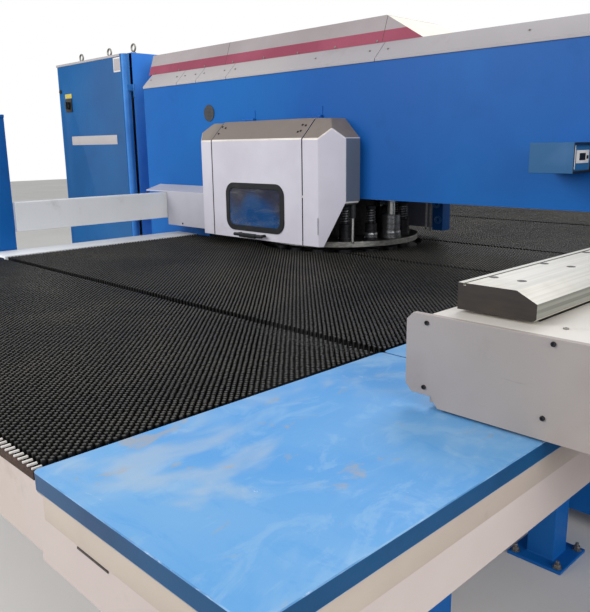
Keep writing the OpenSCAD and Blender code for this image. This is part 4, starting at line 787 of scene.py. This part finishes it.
dress("cabinet_door", ["cabinetBlue", "cabinetEdgeHighlight", "blackPlastic"], 1.5, rework=reworkCabinetDoor)
dress("main_switch", ["blackPlastic"], 1.5)
finishNodes({"door_window": "windowGlass", "lifting_eyes": "zincScrew", "cabinet_modules": "moduleGrey",
             "frame_feet": "castDark"})
print("frame, covers and cabinet dressed")

# Turret and press parts
dress("upper_turret", ["turretSteel", "turretDarkSteel"], 2.0, rework=reworkTurret, limit=50)
dress("lower_turret", ["turretDarkSteel"], 2.0, limit=50)
finishNodes({"turret_bearings": "castDark", "dies": "toolDark", "turret_drives": "motorBlack",
             "ram_cylinder": "castDark", "ram": "toolSilver"})

# Tables, guard and carriage
for node in ("front_table_frame", "centre_table_frame", "rear_table_frame"):
    dress(node, ["skirtBeige"], 0.8, 1)
for node in ("front_end_plate", "front_inner_end_plate", "rear_inner_end_plate", "rear_end_plate"):
    dress(node, ["wornBlue", "lipShadeBlue", "plateEdgeWearAndHighlight"], 1.6, rework=reworkPlate, edgeLook=2)
dress("table_legs", ["frameBlue"], 3.0)
dress("end_rails", ["guardWhite"], 1.0)
dress("guard_beam", ["guardWhite"], 4.0)
dress("guard_post", ["frameBlue"], 4.0)
dress("stepped_cover", ["coverSide"], 0.6, 1, lambda shape: roundFolds(shape, **stepFolds))
# the carriage beam's top is light and its other faces take the darker grey of the end plates: painted shade
dress("carriage_beam", ["carriageTop", "carriageWhite"], 1.5, rework=reworkPlate)
dress("carriage_end_plates", ["carriageWhite"], 1.2)
dress("clamp_rail", ["railSteel", "railShadeSteel", "railSideShade"], 1.0, rework=reworkRail)
dress("clamp_bodies", ["castDark"], 2.0)
dress("clamp_jaw_front", ["toolDark"], 1.5)
dress("clamp_jaw_rear", ["toolDark"], 1.5)
finishNodes({"cross_guides": "turretSteel", "cross_screw": "toolSilver", "traverse_guides": "turretSteel",
             "traverse_screw": "toolSilver"})
print("tables, guard and carriage dressed")


# Tools of the upper turret: flanged guides, coil springs, headed punches, one at the ram.
# Outlines are (outwards, upwards) in mm from a radius and a height; a ring's first value is a share of the head.
toolLook = {"stations": 16, "pitch": 330.0, "turret": (-375, 0, 995), "below": -31.0, "steps": 28,
            "workingSteps": 32, "largeEvery": 4, "silver": (0,), "collars": (0, 3, 8, 15), "bright": (4, 10),
            "large": {"guide": 46.0, "top": 115.0, "stem": 20.0, "wire": 5.0, "turns": 2.5},
            "small": {"guide": 30.0, "top": 80.0, "stem": 14.0, "wire": 3.2, "turns": 5},
            "clearance": 0.4, "guideTop": ((-3, 0), (0, -3)), "grooves": (0.82, 0.6, 0.38),
            "groove": ((0, 3), (-1.6, 2), (-1.6, -2), (0, -3)),
            "flange": ((0, 10), (5, 10), (6, 9), (6, 0), (0, 0)),
            "collar": ((-1, 34), (2, 34), (3, 32), (3, 22), (1.5, 20), (3, 18), (3, 12), (-1, 12), (-1, 34)),
            "screws": {"count": 3, "out": 3.2, "turn": 0.5, "base": 10, "radius": 2.6, "height": 2.5},
            "headTop": 163.0, "headThick": 16.0, "headInset": 5, "workingRise": 34.0, "springInset": 6,
            "ring": ((0, 0), (0.3, 0), (0.34, -2), (0.62, -2), (0.66, 0)), "rim": ((-2, 0), (0, -2)),
            "neck": ((0, 5), (-2.5, 3), (-2.5, 0)), "shoulder": ((3, 0), (0, -4)), "hidden": 4,
            "tip": 10.0, "tipTop": 7.0, "tipEase": 2, "tipLow": -29.0}


def stepped(steps, radius, height):
    return [(radius + out, height + up) for out, up in steps]


def guideOutline(size, look):
    radius, top, bore = size["guide"], size["top"], size["stem"] + look["clearance"]
    grooves = [pair for share in look["grooves"] for pair in stepped(look["groove"], radius, share * top)]
    return ([(bore, top)] + stepped(look["guideTop"], radius, top) + grooves + stepped(look["flange"], radius, 0)
            + [(radius, look["below"]), (bore, look["below"]), (bore, top)])


def punchOutline(size, look, working):
    head, stem, top = size["guide"] - look["headInset"], size["stem"], look["headTop"]
    lower = [(stem, look["below"] + look["hidden"])]
    if working:
        top += look["workingRise"]
        lower = [(stem, look["tipTop"]), (look["tip"], look["tipTop"] - look["tipEase"]),
                 (look["tip"], look["tipLow"])]
    under = top - look["headThick"]
    ring = [(head * share, top + up) for share, up in look["ring"]]
    return (ring + stepped(look["rim"], head, top) + stepped(look["neck"], head, under)
            + stepped(look["shoulder"], stem, under) + lower + [(0, lower[-1][1])])


def makeTools(look):
    guides, punches, springs, working = (bmesh.new() for kind in range(4))
    middle, steps, screws = mm(*look["turret"]), look["steps"], look["screws"]
    for i in range(look["stations"]):
        angle = math.tau * i / look["stations"]
        centre = middle + mm(look["pitch"] * math.cos(angle), look["pitch"] * math.sin(angle), 0)
        size = look["small" if i % look["largeEvery"] else "large"]
        addTurned(guides, guideOutline(size, look), centre, steps=steps, look=1 if i in look["silver"] else 0)
        if i in look["collars"]:
            addTurned(guides, stepped(look["collar"], size["guide"], 0), centre, steps=steps, look=1)
        for turn in range(screws["count"]):
            out = angle + math.tau * turn / screws["count"] + screws["turn"]
            reach = size["guide"] + screws["out"]
            spot = centre + mm(reach * math.cos(out), reach * math.sin(out), screws["base"])
            addTurned(guides, screwOutline(screws["radius"], screws["height"]), spot, steps=screwSteps, look=2)
        if i == 0:
            addTurned(working, punchOutline(size, look, True), centre, steps=look["workingSteps"])
            continue
        addTurned(punches, punchOutline(size, look, False), centre, steps=steps, look=0 if i in look["bright"] else 1)
        addCoil(springs, centre, size["guide"] - look["springInset"] - size["wire"], size["wire"], size["turns"],
                size["top"], look["headTop"] - look["headThick"])
    for name, shape, looks, node in (("toolGuides", guides, ["toolDark", "springSteel", "zincScrew"], "punch_guides"),
                                     ("headedPunches", punches, ["springSteel", "castDark"], "punches"),
                                     ("strippingSprings", springs, ["springSteel"], "punch_springs"),
                                     ("strikingPunch", working, ["toolSilver"], "working_punch")):
        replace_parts(fromBmesh(name, shape, looks, node), node)


makeTools(toolLook)

# Rods, sleeve and stay with its pin by the turret, each with its place, outline, steps and look; machined seats
rodLook = {
    "thinRod": ((-10, 250, 0), ((0, 1205), (5, 1205), (5, 1015), (3, 1012), (0, 1012)), 16, 0),
    "thickRod": ((12, 256, 0), ((0, 1205), (6.5, 1205), (6.5, 1007), (4.5, 1004), (0, 1004)), 16, 0),
    "sleeve": ((0, 252, 0), ((0, 1205), (21, 1205), (21, 1197), (17, 1196), (17, 1163), (15.5, 1162), (15.5, 1158),
                             (17, 1157), (17, 1151), (15, 1149), (0, 1149)), 24, 1),
    "stay": ((-22, -318, 0), ((0, 1205), (16, 1205), (16, 1190), (14, 1188), (14, 1120), (12.5, 1116), (7.2, 1115),
                              (0, 1115)), 24, 2),
    "pin": ((-22, -318, 0), ((0, 1116), (6.5, 1116), (6.5, 1010), (9, 1008), (9, 1000), (7, 997), (0, 997)), 20, 3)}
rods = bmesh.new()
for place, outline, steps, look in rodLook.values():
    addTurned(rods, outline, mm(*place), steps=steps, look=look)
fromBmesh("turretRods", rods, ["silverHighlight", "brassOlive", "castDark", "toolSilver"], "o_frame", slotNode="ram")
seatLook = {"seats": (((62, 235, 1150), 24), ((74, 235, 1068), 21)), "steps": 28,
            "outline": ((0.45, 0.5), (0.45, 3), (0.6, 4), (0.62, 2), (0.86, 2), (0.9, 5), (1, 5), (1, 0.5),
                        (0.45, 0.5))}
seats = bmesh.new()
for place, radius in seatLook["seats"]:
    outline = [(radius * share, height) for share, height in seatLook["outline"]]
    addTurned(seats, outline, mm(*place), (0, -1, 0), seatLook["steps"])
fromBmesh("holderSeats", seats, ["frameEdgeWearAndHighlight"], "o_frame")
print("turret tools made")

# Screws of the covers, then those on both sides of the hood, the trim and the carriage, placed as at the rear
coverScrews = {
    "roofScrews": ("cover_door", "blackScrew", (0, -1, 1), 5.5, 4, (
        (-823, -421, 1544), (-791, -427, 1538), (-815, -455, 1510), (-232, -427, 1538), (-209, -430, 1535),
        (-233, -458, 1507), (-218, -454, 1511))),
    "stepScrews": ("stepped_cover", "blackScrew", (0, -1, 0), 5, 3, ((-1591, -405, 1180), (-1241, -405, 1015)))}
for name, look in coverScrews.items():
    addScrewSet(name, *look)
sideScrews = {
    "hoodScrews": ("roof_hood", "zincScrew", 0.33, 5, 3, [(-1700 + k * (1740 / 7), 229, 1890) for k in range(8)]),
    "trimScrews": ("beam_cover", "zincScrew", 1, 4.5, 3, [(x, 268, 1846) for x in (
        -1690, -1420, -1340, -1240, -1160, -980, -890, -300, 30, 130, 780, 1420, 1530, 2160, 2790)]),
    "carriageBolts": ("carriage_end_plates", "blackScrew", 0, 4.6, 3, [(x, 1712, z) for x, z in (
        (1365, 1120), (1613, 1127), (1603, 995), (1362, 992), (1850, 1123), (2092, 1123), (1850, 993), (2092, 993),
        (2330, 1123))])}
for name, look in sideScrews.items():
    addSideScrews(name, *look)

# Seal at the left of the door: an upright strip, then a strip along the roof's slope
sealLook = {"from": -846, "to": -838, "face": -485.8, "thick": 1.6, "ease": 0.0004, "low": 995, "fold": 1474,
            "rise": 88, "lift": 1}


def makeSeal(look):
    shape = bmesh.new()
    addBlock(shape, mm(look["from"], look["face"], look["low"]),
             mm(look["to"], look["face"] + look["thick"], look["fold"]), look["ease"], 0, 1)
    half = look["rise"] / 2
    middle = mm((look["from"] + look["to"]) / 2, look["face"] + half, look["fold"] + half + look["lift"])
    size = mm(look["to"] - look["from"], look["rise"] * math.sqrt(2), look["thick"])
    place = Matrix.Translation(middle) @ Matrix.Rotation(math.radians(45), 4, "X") @ Matrix.Diagonal((*size, 1))
    bmesh.ops.create_cube(shape, size=1, matrix=place)
    fromBmesh("doorSeal", shape, ["seamDark"], "left_cover")


makeSeal(sealLook)

# Lamp under the cover; grip and stay plate of the door; the display's bare panel, dark window and two keys;
# the cabinet's bare label, switch plate, blank name strip and top rim; strips along the tables
barLooks = {
    "coverLamp": ("right_cover", ["labelPale", "castDark"], (
        ((-34, -398, 1188), (3, -304, 1204), 4, 0), ((-30, -394, 1181), (0, -308, 1189), 2, 1))),
    "handleGrip": ("door_handle", ["blackPlastic"], (((-590, -533, 1004), (-468, -519, 1026), 4, 0),), 3),
    "coverStay": ("right_cover", ["seamDark"], (((-86, -486.2, 1049), (-84, -484.9, 1126), 0.4, 0),)),
    "displayPanel": ("display_box", ["labelPale", "blackPlastic"], (
        ((1053, -434, 1356), (1056, -427, 1438), 1, 0), ((1053, -420, 1376), (1056.5, -322, 1420), 1.5, 0),
        ((1056, -398, 1386), (1057.5, -352, 1410), 0.5, 1), ((1056, -343, 1390), (1059, -331, 1402), 1, 1))),
    "cabinetPlates": ("cabinet_door", ["labelPale", "displayTeal", "switchYellow", "trimGrey"], (
        ((-2062, -301.2, 1919), (-1974, -300, 2007), 0.5, 0), ((-2054, -301.8, 1927), (-1982, -301, 1999), 0.4, 3),
        ((-2740, -303, 1792), (-2646, -300, 1822), 1, 2), ((-2690, -301.6, 1470), (-2075, -300, 1530), 0.6, 3),
        ((-2838, -304, 2011), (-1980, -299.5, 2026), 1.6, 3))),
    "front_table_frameStrip": ("front_table_frame", ["brownRubber"], (
        ((-1216, -2360.5, 929), (1066, -2350, 943), 1.2, 0),)),
    "rear_table_frameStrip": ("rear_table_frame", ["brownRubber"], (
        ((-1216, 2350, 929), (1066, 2360.5, 943), 1.2, 0),)),
    # the dark slot under the ochre strip and the dark slits at the skirt's end: painted shade in openings
    "front_table_frameSkirt": ("front_table_frame", ["skirtOchre", "seamDark"], (
        ((1096, -2361.5, 872), (1592, -2359.5, 915), 0.8, 0), ((1200, -2361.5, 866), (1290, -2359.7, 870), 0.6, 1))),
    "rear_table_frameSkirt": ("rear_table_frame", ["skirtOchre", "seamDark"], (
        ((1096, 2359.5, 872), (1592, 2361.5, 915), 0.8, 0), ((1200, 2359.5, 866), (1290, 2361.3, 870), 0.6, 1))),
    "skirtEnd": ("front_table_frame", ["skirtOchre", "seamDark"], (
        ((1598, -2350, 872), (1600.5, -1480, 915), 0.8, 0), ((1598, 1480, 872), (1600.5, 2350, 915), 0.8, 0),
        ((1598.5, -1762, 897), (1600, -1702, 901), 0.5, 1), ((1598.5, -2164, 885), (1600, -2104, 889), 0.5, 1),
        ((1598.5, 1702, 897), (1600, 1762, 901), 0.5, 1), ((1598.5, 2104, 885), (1600, 2164, 889), 0.5, 1))),
}
for name, look in barLooks.items():
    addBars(name, *look)

lockLook = {"places": ((-2802, -300, 1843), (-2802, -300, 420)),
            "outline": ((0, 9), (4, 9), (4.5, 6), (8, 6), (10, 8), (13, 8), (14, 6), (14, 0))}
addTurnedSet("cabinetLocks", "cabinet_door", "blackPlastic", lockLook["outline"], lockLook["places"], (0, -1, 0),
             slotNode="main_switch")

# Vents at the cabinet's back: a plate, then slats with a dark bar under each, painted shade in the gap
ventLook = {"bases": (300, 1650), "count": 9, "pitch": 26, "plate": ((-2620, -0.5, -20), (-2160, 2, 242), 1, 0),
            "slat": ((-2600, 1.5, 0), (-2180, 8, 12), 3, 0), "gap": ((-2596, 1.5, -4), (-2184, 3, 0), 0.5, 1)}


def makeVents(look):
    back = boxOf("cabinet_body")[1][1]
    bars = []
    for base in look["bases"]:
        bars.append(movedBar(look["plate"], (0, back, base)))
        for k in range(look["count"]):
            spot = (0, back, base + k * look["pitch"])
            bars += [movedBar(look["slat"], spot), movedBar(look["gap"], spot)]
    addBars("cabinetVents", "cabinet_body", ["cabinetBlue", "seamDark"], bars)


makeVents(ventLook)

# Service covers on the frame, held by screws: each is its span along x and along z
serviceLook = {"near": 300.0, "far": 303.5, "bevel": 1.4, "inset": 22, "radius": 7, "height": 5,
               "covers": {"Front": ((-1650, -1240, 180, 760), (2480, 2770, 300, 900)),
                          "Rear": ((-1650, -1240, 300, 1100), (-820, 60, 1300, 1700), (900, 1900, 1320, 1680),
                                   (2480, 2770, 300, 1200))}}


def makeServiceCovers(look):
    bars, inset = [], look["inset"]
    for side, sideName in sideNames.items():
        near, far = sorted((side * look["near"], side * look["far"]))
        screws = []
        for x0, x1, z0, z1 in look["covers"][sideName]:
            bars.append(((x0, near, z0), (x1, far, z1), look["bevel"], 0))
            screws += [(x, side * look["far"], z) for x in (x0 + inset, (x0 + x1) / 2, x1 - inset)
                       for z in (z0 + inset, z1 - inset)]
        addScrewSet("serviceScrews" + sideName, "o_frame", "blackScrew", (0, side, 0), look["radius"],
                    look["height"], screws)
    addBars("serviceCovers", "o_frame", ["frameBlue"], bars)


makeServiceCovers(serviceLook)
print("covers and cabinet detailed")

# Tables: pale teeth along the edge strips, anchors at the feet
edgeLook = {"from": -1216, "pitch": 17.4, "count": 131,
            "teeth": {"front_brush": ((-1.9, -2357.5, 942), (1.9, -2340, 946.2), 0.6, 0),
                      "rear_brush": ((-1.9, 2340, 942), (1.9, 2357.5, 946.2), 0.6, 0)}}
for brush, tooth in edgeLook["teeth"].items():
    teeth = [movedBar(tooth, (edgeLook["from"] + (k + 0.5) * edgeLook["pitch"], 0, 0))
             for k in range(edgeLook["count"])]
    addBars(brush + "Teeth", brush, ["labelPale"], teeth, 1)
anchorLook = {"x": (-1100, 1115), "y": (-2100, -1310, -560, 560, 1310, 2100), "corners": (-78, 78), "z": 12,
              "outline": ((0, 26), (6, 26), (6.5, 25), (6.5, 14), (11, 14), (12, 13), (12, 3), (17, 3), (17, 0))}
anchors = [(x + alongX, y + alongY, anchorLook["z"]) for x in anchorLook["x"] for y in anchorLook["y"]
           for alongX in anchorLook["corners"] for alongY in anchorLook["corners"]]
addTurnedSet("footAnchors", "table_legs", "zincScrew", anchorLook["outline"], anchors, steps=6, angle=20)
print("tables detailed")

# Carriage: seams and screws on top, sunk screws along the rail, lids and screws of the clamps
carriageLook = {"seam": ((1566, -1, -0.5), (2316, 1, 0.4), 0.3, 0), "seamY": (-560, 560),
                "screwX": (1600, 2296), "screwY": range(-1640, 1700, 328)}
holeLook = {"x": (26, 85), "y": 85, "pitch": 210, "count": 12,
            "outline": ((0, 0.2), (7.6, 0.2), (8.4, 0.5), (9, 0.4), (9.4, -0.3), (0, -0.3))}
lidLook = {"lid": ((22, -34, -1), (56, 34, 2.5), 1, 0), "y": (45, 595), "screws": ((39, -24, 2.5), (39, 24, 2.5))}
top = boxOf("carriage_end_plates")[1][2]
addScrewSet("carriageTopScrews", "carriage_beam", "zincScrew", (0, 0, 1), 5, 2.5,
            [(x, y, top) for x in carriageLook["screwX"] for y in carriageLook["screwY"]])
addBars("carriageSeams", "carriage_beam", ["seamDark"],
        [movedBar(carriageLook["seam"], (0, y, top)) for y in carriageLook["seamY"]])
low, high = boxOf("clamp_rail")
# the sunk screws along the rail are dark discs: painted shade in their holes
addTurnedSet("railHoles", "clamp_rail", "railShadeSteel", holeLook["outline"],
             [(low[0] + x, low[1] + holeLook["y"] + k * holeLook["pitch"], high[2])
              for k in range(holeLook["count"]) for x in holeLook["x"]], steps=18)
low, high = boxOf("clamp_bodies")
spots = [(low[0], y, high[2]) for y in lidLook["y"]]
addBars("clampLids", "clamp_bodies", ["toolDark"], [movedBar(lidLook["lid"], spot) for spot in spots])
addScrewSet("clampScrews", "clamp_bodies", "zincScrew", (0, 0, 1), 5, 4,
            [shifted(screw, spot) for spot in spots for screw in lidLook["screws"]])


# Servo motors, turned: flange, ribbed body, rear cap, plug; heights are in mm from the flange or from the rear end
motorLook = {"flange": ((0, 0), (59, 0), (59, 12), (50, 14), (50, 20)), "ribs": 9, "ribStart": 22, "ribSpare": 60,
             "rib": (57, 52), "ribTop": 4, "ribFoot": 6, "ribGap": 2, "steps": 36, "angle": 28,
             "cap": ((48, -26), (54, -24), (54, -6), (48, 0), (14, 0), (12, -3), (0, -3))}


def makeMotor(name, node, axis, look):
    low, high = boxOf(node)
    along = axis.index(1)
    span = high[along] - low[along]
    pitch = (span - look["ribSpare"]) / (look["ribs"] - 1)
    outer, inner = look["rib"]
    ribs = []
    for k in range(look["ribs"]):
        height = look["ribStart"] + k * pitch
        ribs += [(outer, height), (outer, height + look["ribTop"]), (inner, height + look["ribFoot"]),
                 (inner, height + pitch - look["ribGap"])]
    outline = list(look["flange"]) + ribs[:-2] + stepped(look["cap"], 0, span)
    start = [(first + second) / 2 for first, second in zip(low, high)]
    start[along] = low[along]
    shape = bmesh.new()
    addTurned(shape, outline, mm(*start), axis, steps=look["steps"])
    return fromBmesh(name, shape, ["motorBlack"], node, look["angle"])


crossMotor = makeMotor("crossServo", "cross_motor", (0, 1, 0), motorLook)
travelMotor = makeMotor("traverseServo", "traverse_motor", (1, 0, 0), motorLook)
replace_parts(crossMotor, "cross_motor")
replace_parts(travelMotor, "traverse_motor")
print("carriage detailed")


# Brush mats: a board with staggered rows of tufts that lean a little, each in its own way
matLook = {"pitch": 17.4, "rowStep": 8.7, "rootRadius": 3.3, "tipRadius": 4.1, "boardTop": 926.0, "tipTop": 949.6,
           "sink": 1.0, "cutBelow": 0.0002, "corners": 8, "clear": 7.0, "turretPlace": (-375.0, 0.0),
           "turretClear": 415.0, "lean": 1.6, "windScale": 2.1, "windSeeds": (0.3, 7.9), "wind": 1.6, "stray": 0.55,
           "drop": 0.0012}
mats = {"front_brush": {"x": (-1217, 1068), "y": (-2353, -1470)},
        "front_inner_brush": {"x": (-1217, 1068), "y": (-1464, -321)},
        "centre_brush": {"x": (-1118, 860), "y": (-320, 320)},
        "rear_inner_brush": {"x": (-1217, 1068), "y": (321, 1464)},
        "rear_brush": {"x": (-1217, 1068), "y": (1470, 2353)}}


def brushBoard(node, look):
    shape = mergedCopy(node)
    cut = look["boardTop"] / 1000 - look["cutBelow"]
    geometry = list(shape.verts) + list(shape.edges) + list(shape.faces)
    made = bmesh.ops.bisect_plane(shape, geom=geometry, dist=1e-6, plane_co=(0, 0, cut), plane_no=(0, 0, 1),
                                  clear_outer=True)
    rim = [item for item in made["geom_cut"] if isinstance(item, bmesh.types.BMEdge)]
    bmesh.ops.triangle_fill(shape, edges=rim, use_beauty=True)
    return shape


# upright tufts over a span: two of them, repeated along x and along y
def tuftRows(look, spanX, spanY):
    shape = bmesh.new()
    height = look["tipTop"] - look["boardTop"] + look["sink"]
    for shift in ((0.0, 0.0), (look["pitch"] / 2, look["rowStep"])):
        place = Matrix.Translation(mm(*shift, height / 2)) @ Matrix.Rotation(math.radians(45), 4, "Z")
        bmesh.ops.create_cone(shape, cap_ends=True, segments=4, radius1=look["rootRadius"] / 1000,
                              radius2=look["tipRadius"] / 1000, depth=height / 1000, matrix=place)
    lowest = [face for face in shape.faces if face.normal.z < -facing]
    bmesh.ops.delete(shape, geom=lowest, context="FACES")
    grower = newObject("tuftGrower", meshFrom("tuftCell", shape))
    countX = int((spanX[1] - spanX[0] - 2 * look["clear"]) / look["pitch"])
    countY = int((spanY[1] - spanY[0] - 2 * look["clear"]) / (2 * look["rowStep"]))
    for count, step in ((countX, (look["pitch"], 0, 0)), (countY, (0, 2 * look["rowStep"], 0))):
        rows = grower.modifiers.new("rows", "ARRAY")
        rows.count = count
        rows.use_relative_offset = False
        rows.use_constant_offset = True
        rows.constant_offset_displace = mm(*step)
    bpy.context.view_layer.update()
    grown = bpy.data.meshes.new_from_object(grower.evaluated_get(bpy.context.evaluated_depsgraph_get()))
    bpy.data.objects.remove(grower)
    marginX = (spanX[1] - spanX[0] - (countX - 0.5) * look["pitch"]) / 2
    marginY = (spanY[1] - spanY[0] - (2 * countY - 1) * look["rowStep"]) / 2
    grown.transform(Matrix.Translation(mm(spanX[0] + marginX, spanY[0] + marginY, look["boardTop"] - look["sink"])))
    return grown


# leans the tips by a slow wind and a stray of their own, and takes away the tufts by the turret
def leanTufts(mesh, look):
    shape = bmesh.new()
    shape.from_mesh(mesh)
    shape.verts.ensure_lookup_table()
    middle = mm(*look["turretPlace"], 0)
    corners = look["corners"]
    top = (look["boardTop"] + look["tipTop"]) / 2000
    lost = []
    for first in range(0, len(shape.verts), corners):
        tuft = [shape.verts[first + k] for k in range(corners)]
        root = sum((v.co for v in tuft), Vector()) / corners
        if (root.xy - middle.xy).length < (look["turretClear"] + look["clear"]) / 1000:
            lost.extend(tuft)
            continue
        wind = [noise.noise(Vector((root.x * look["windScale"], root.y * look["windScale"], seed)))
                for seed in look["windSeeds"]]
        stray = Vector((random.uniform(-1, 1), random.uniform(-1, 1), 0)) * look["stray"]
        push = (Vector((*wind, 0)) * look["wind"] + stray) * (look["lean"] / 1000)
        drop = random.uniform(0, look["drop"])
        for v in tuft:
            if v.co.z > top:
                v.co += push
                v.co.z -= drop
    bmesh.ops.delete(shape, geom=lost, context="VERTS")
    return shape


for node, span in mats.items():
    tufts = leanTufts(tuftRows(matLook, span["x"], span["y"]), matLook)
    for face in tufts.faces:
        face.material_index = 1
    grown = meshFrom(node + "Tufts", tufts)
    board = brushBoard(node, matLook)
    board.from_mesh(grown)
    bpy.data.meshes.remove(grown)
    mat = addPiece(node + "Mat", meshFrom(node + "Mat", board), ["brushBoard", "brushTufts"], node)
    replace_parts(mat, node)
    print("mat grown:", node, len(mat.data.polygons))
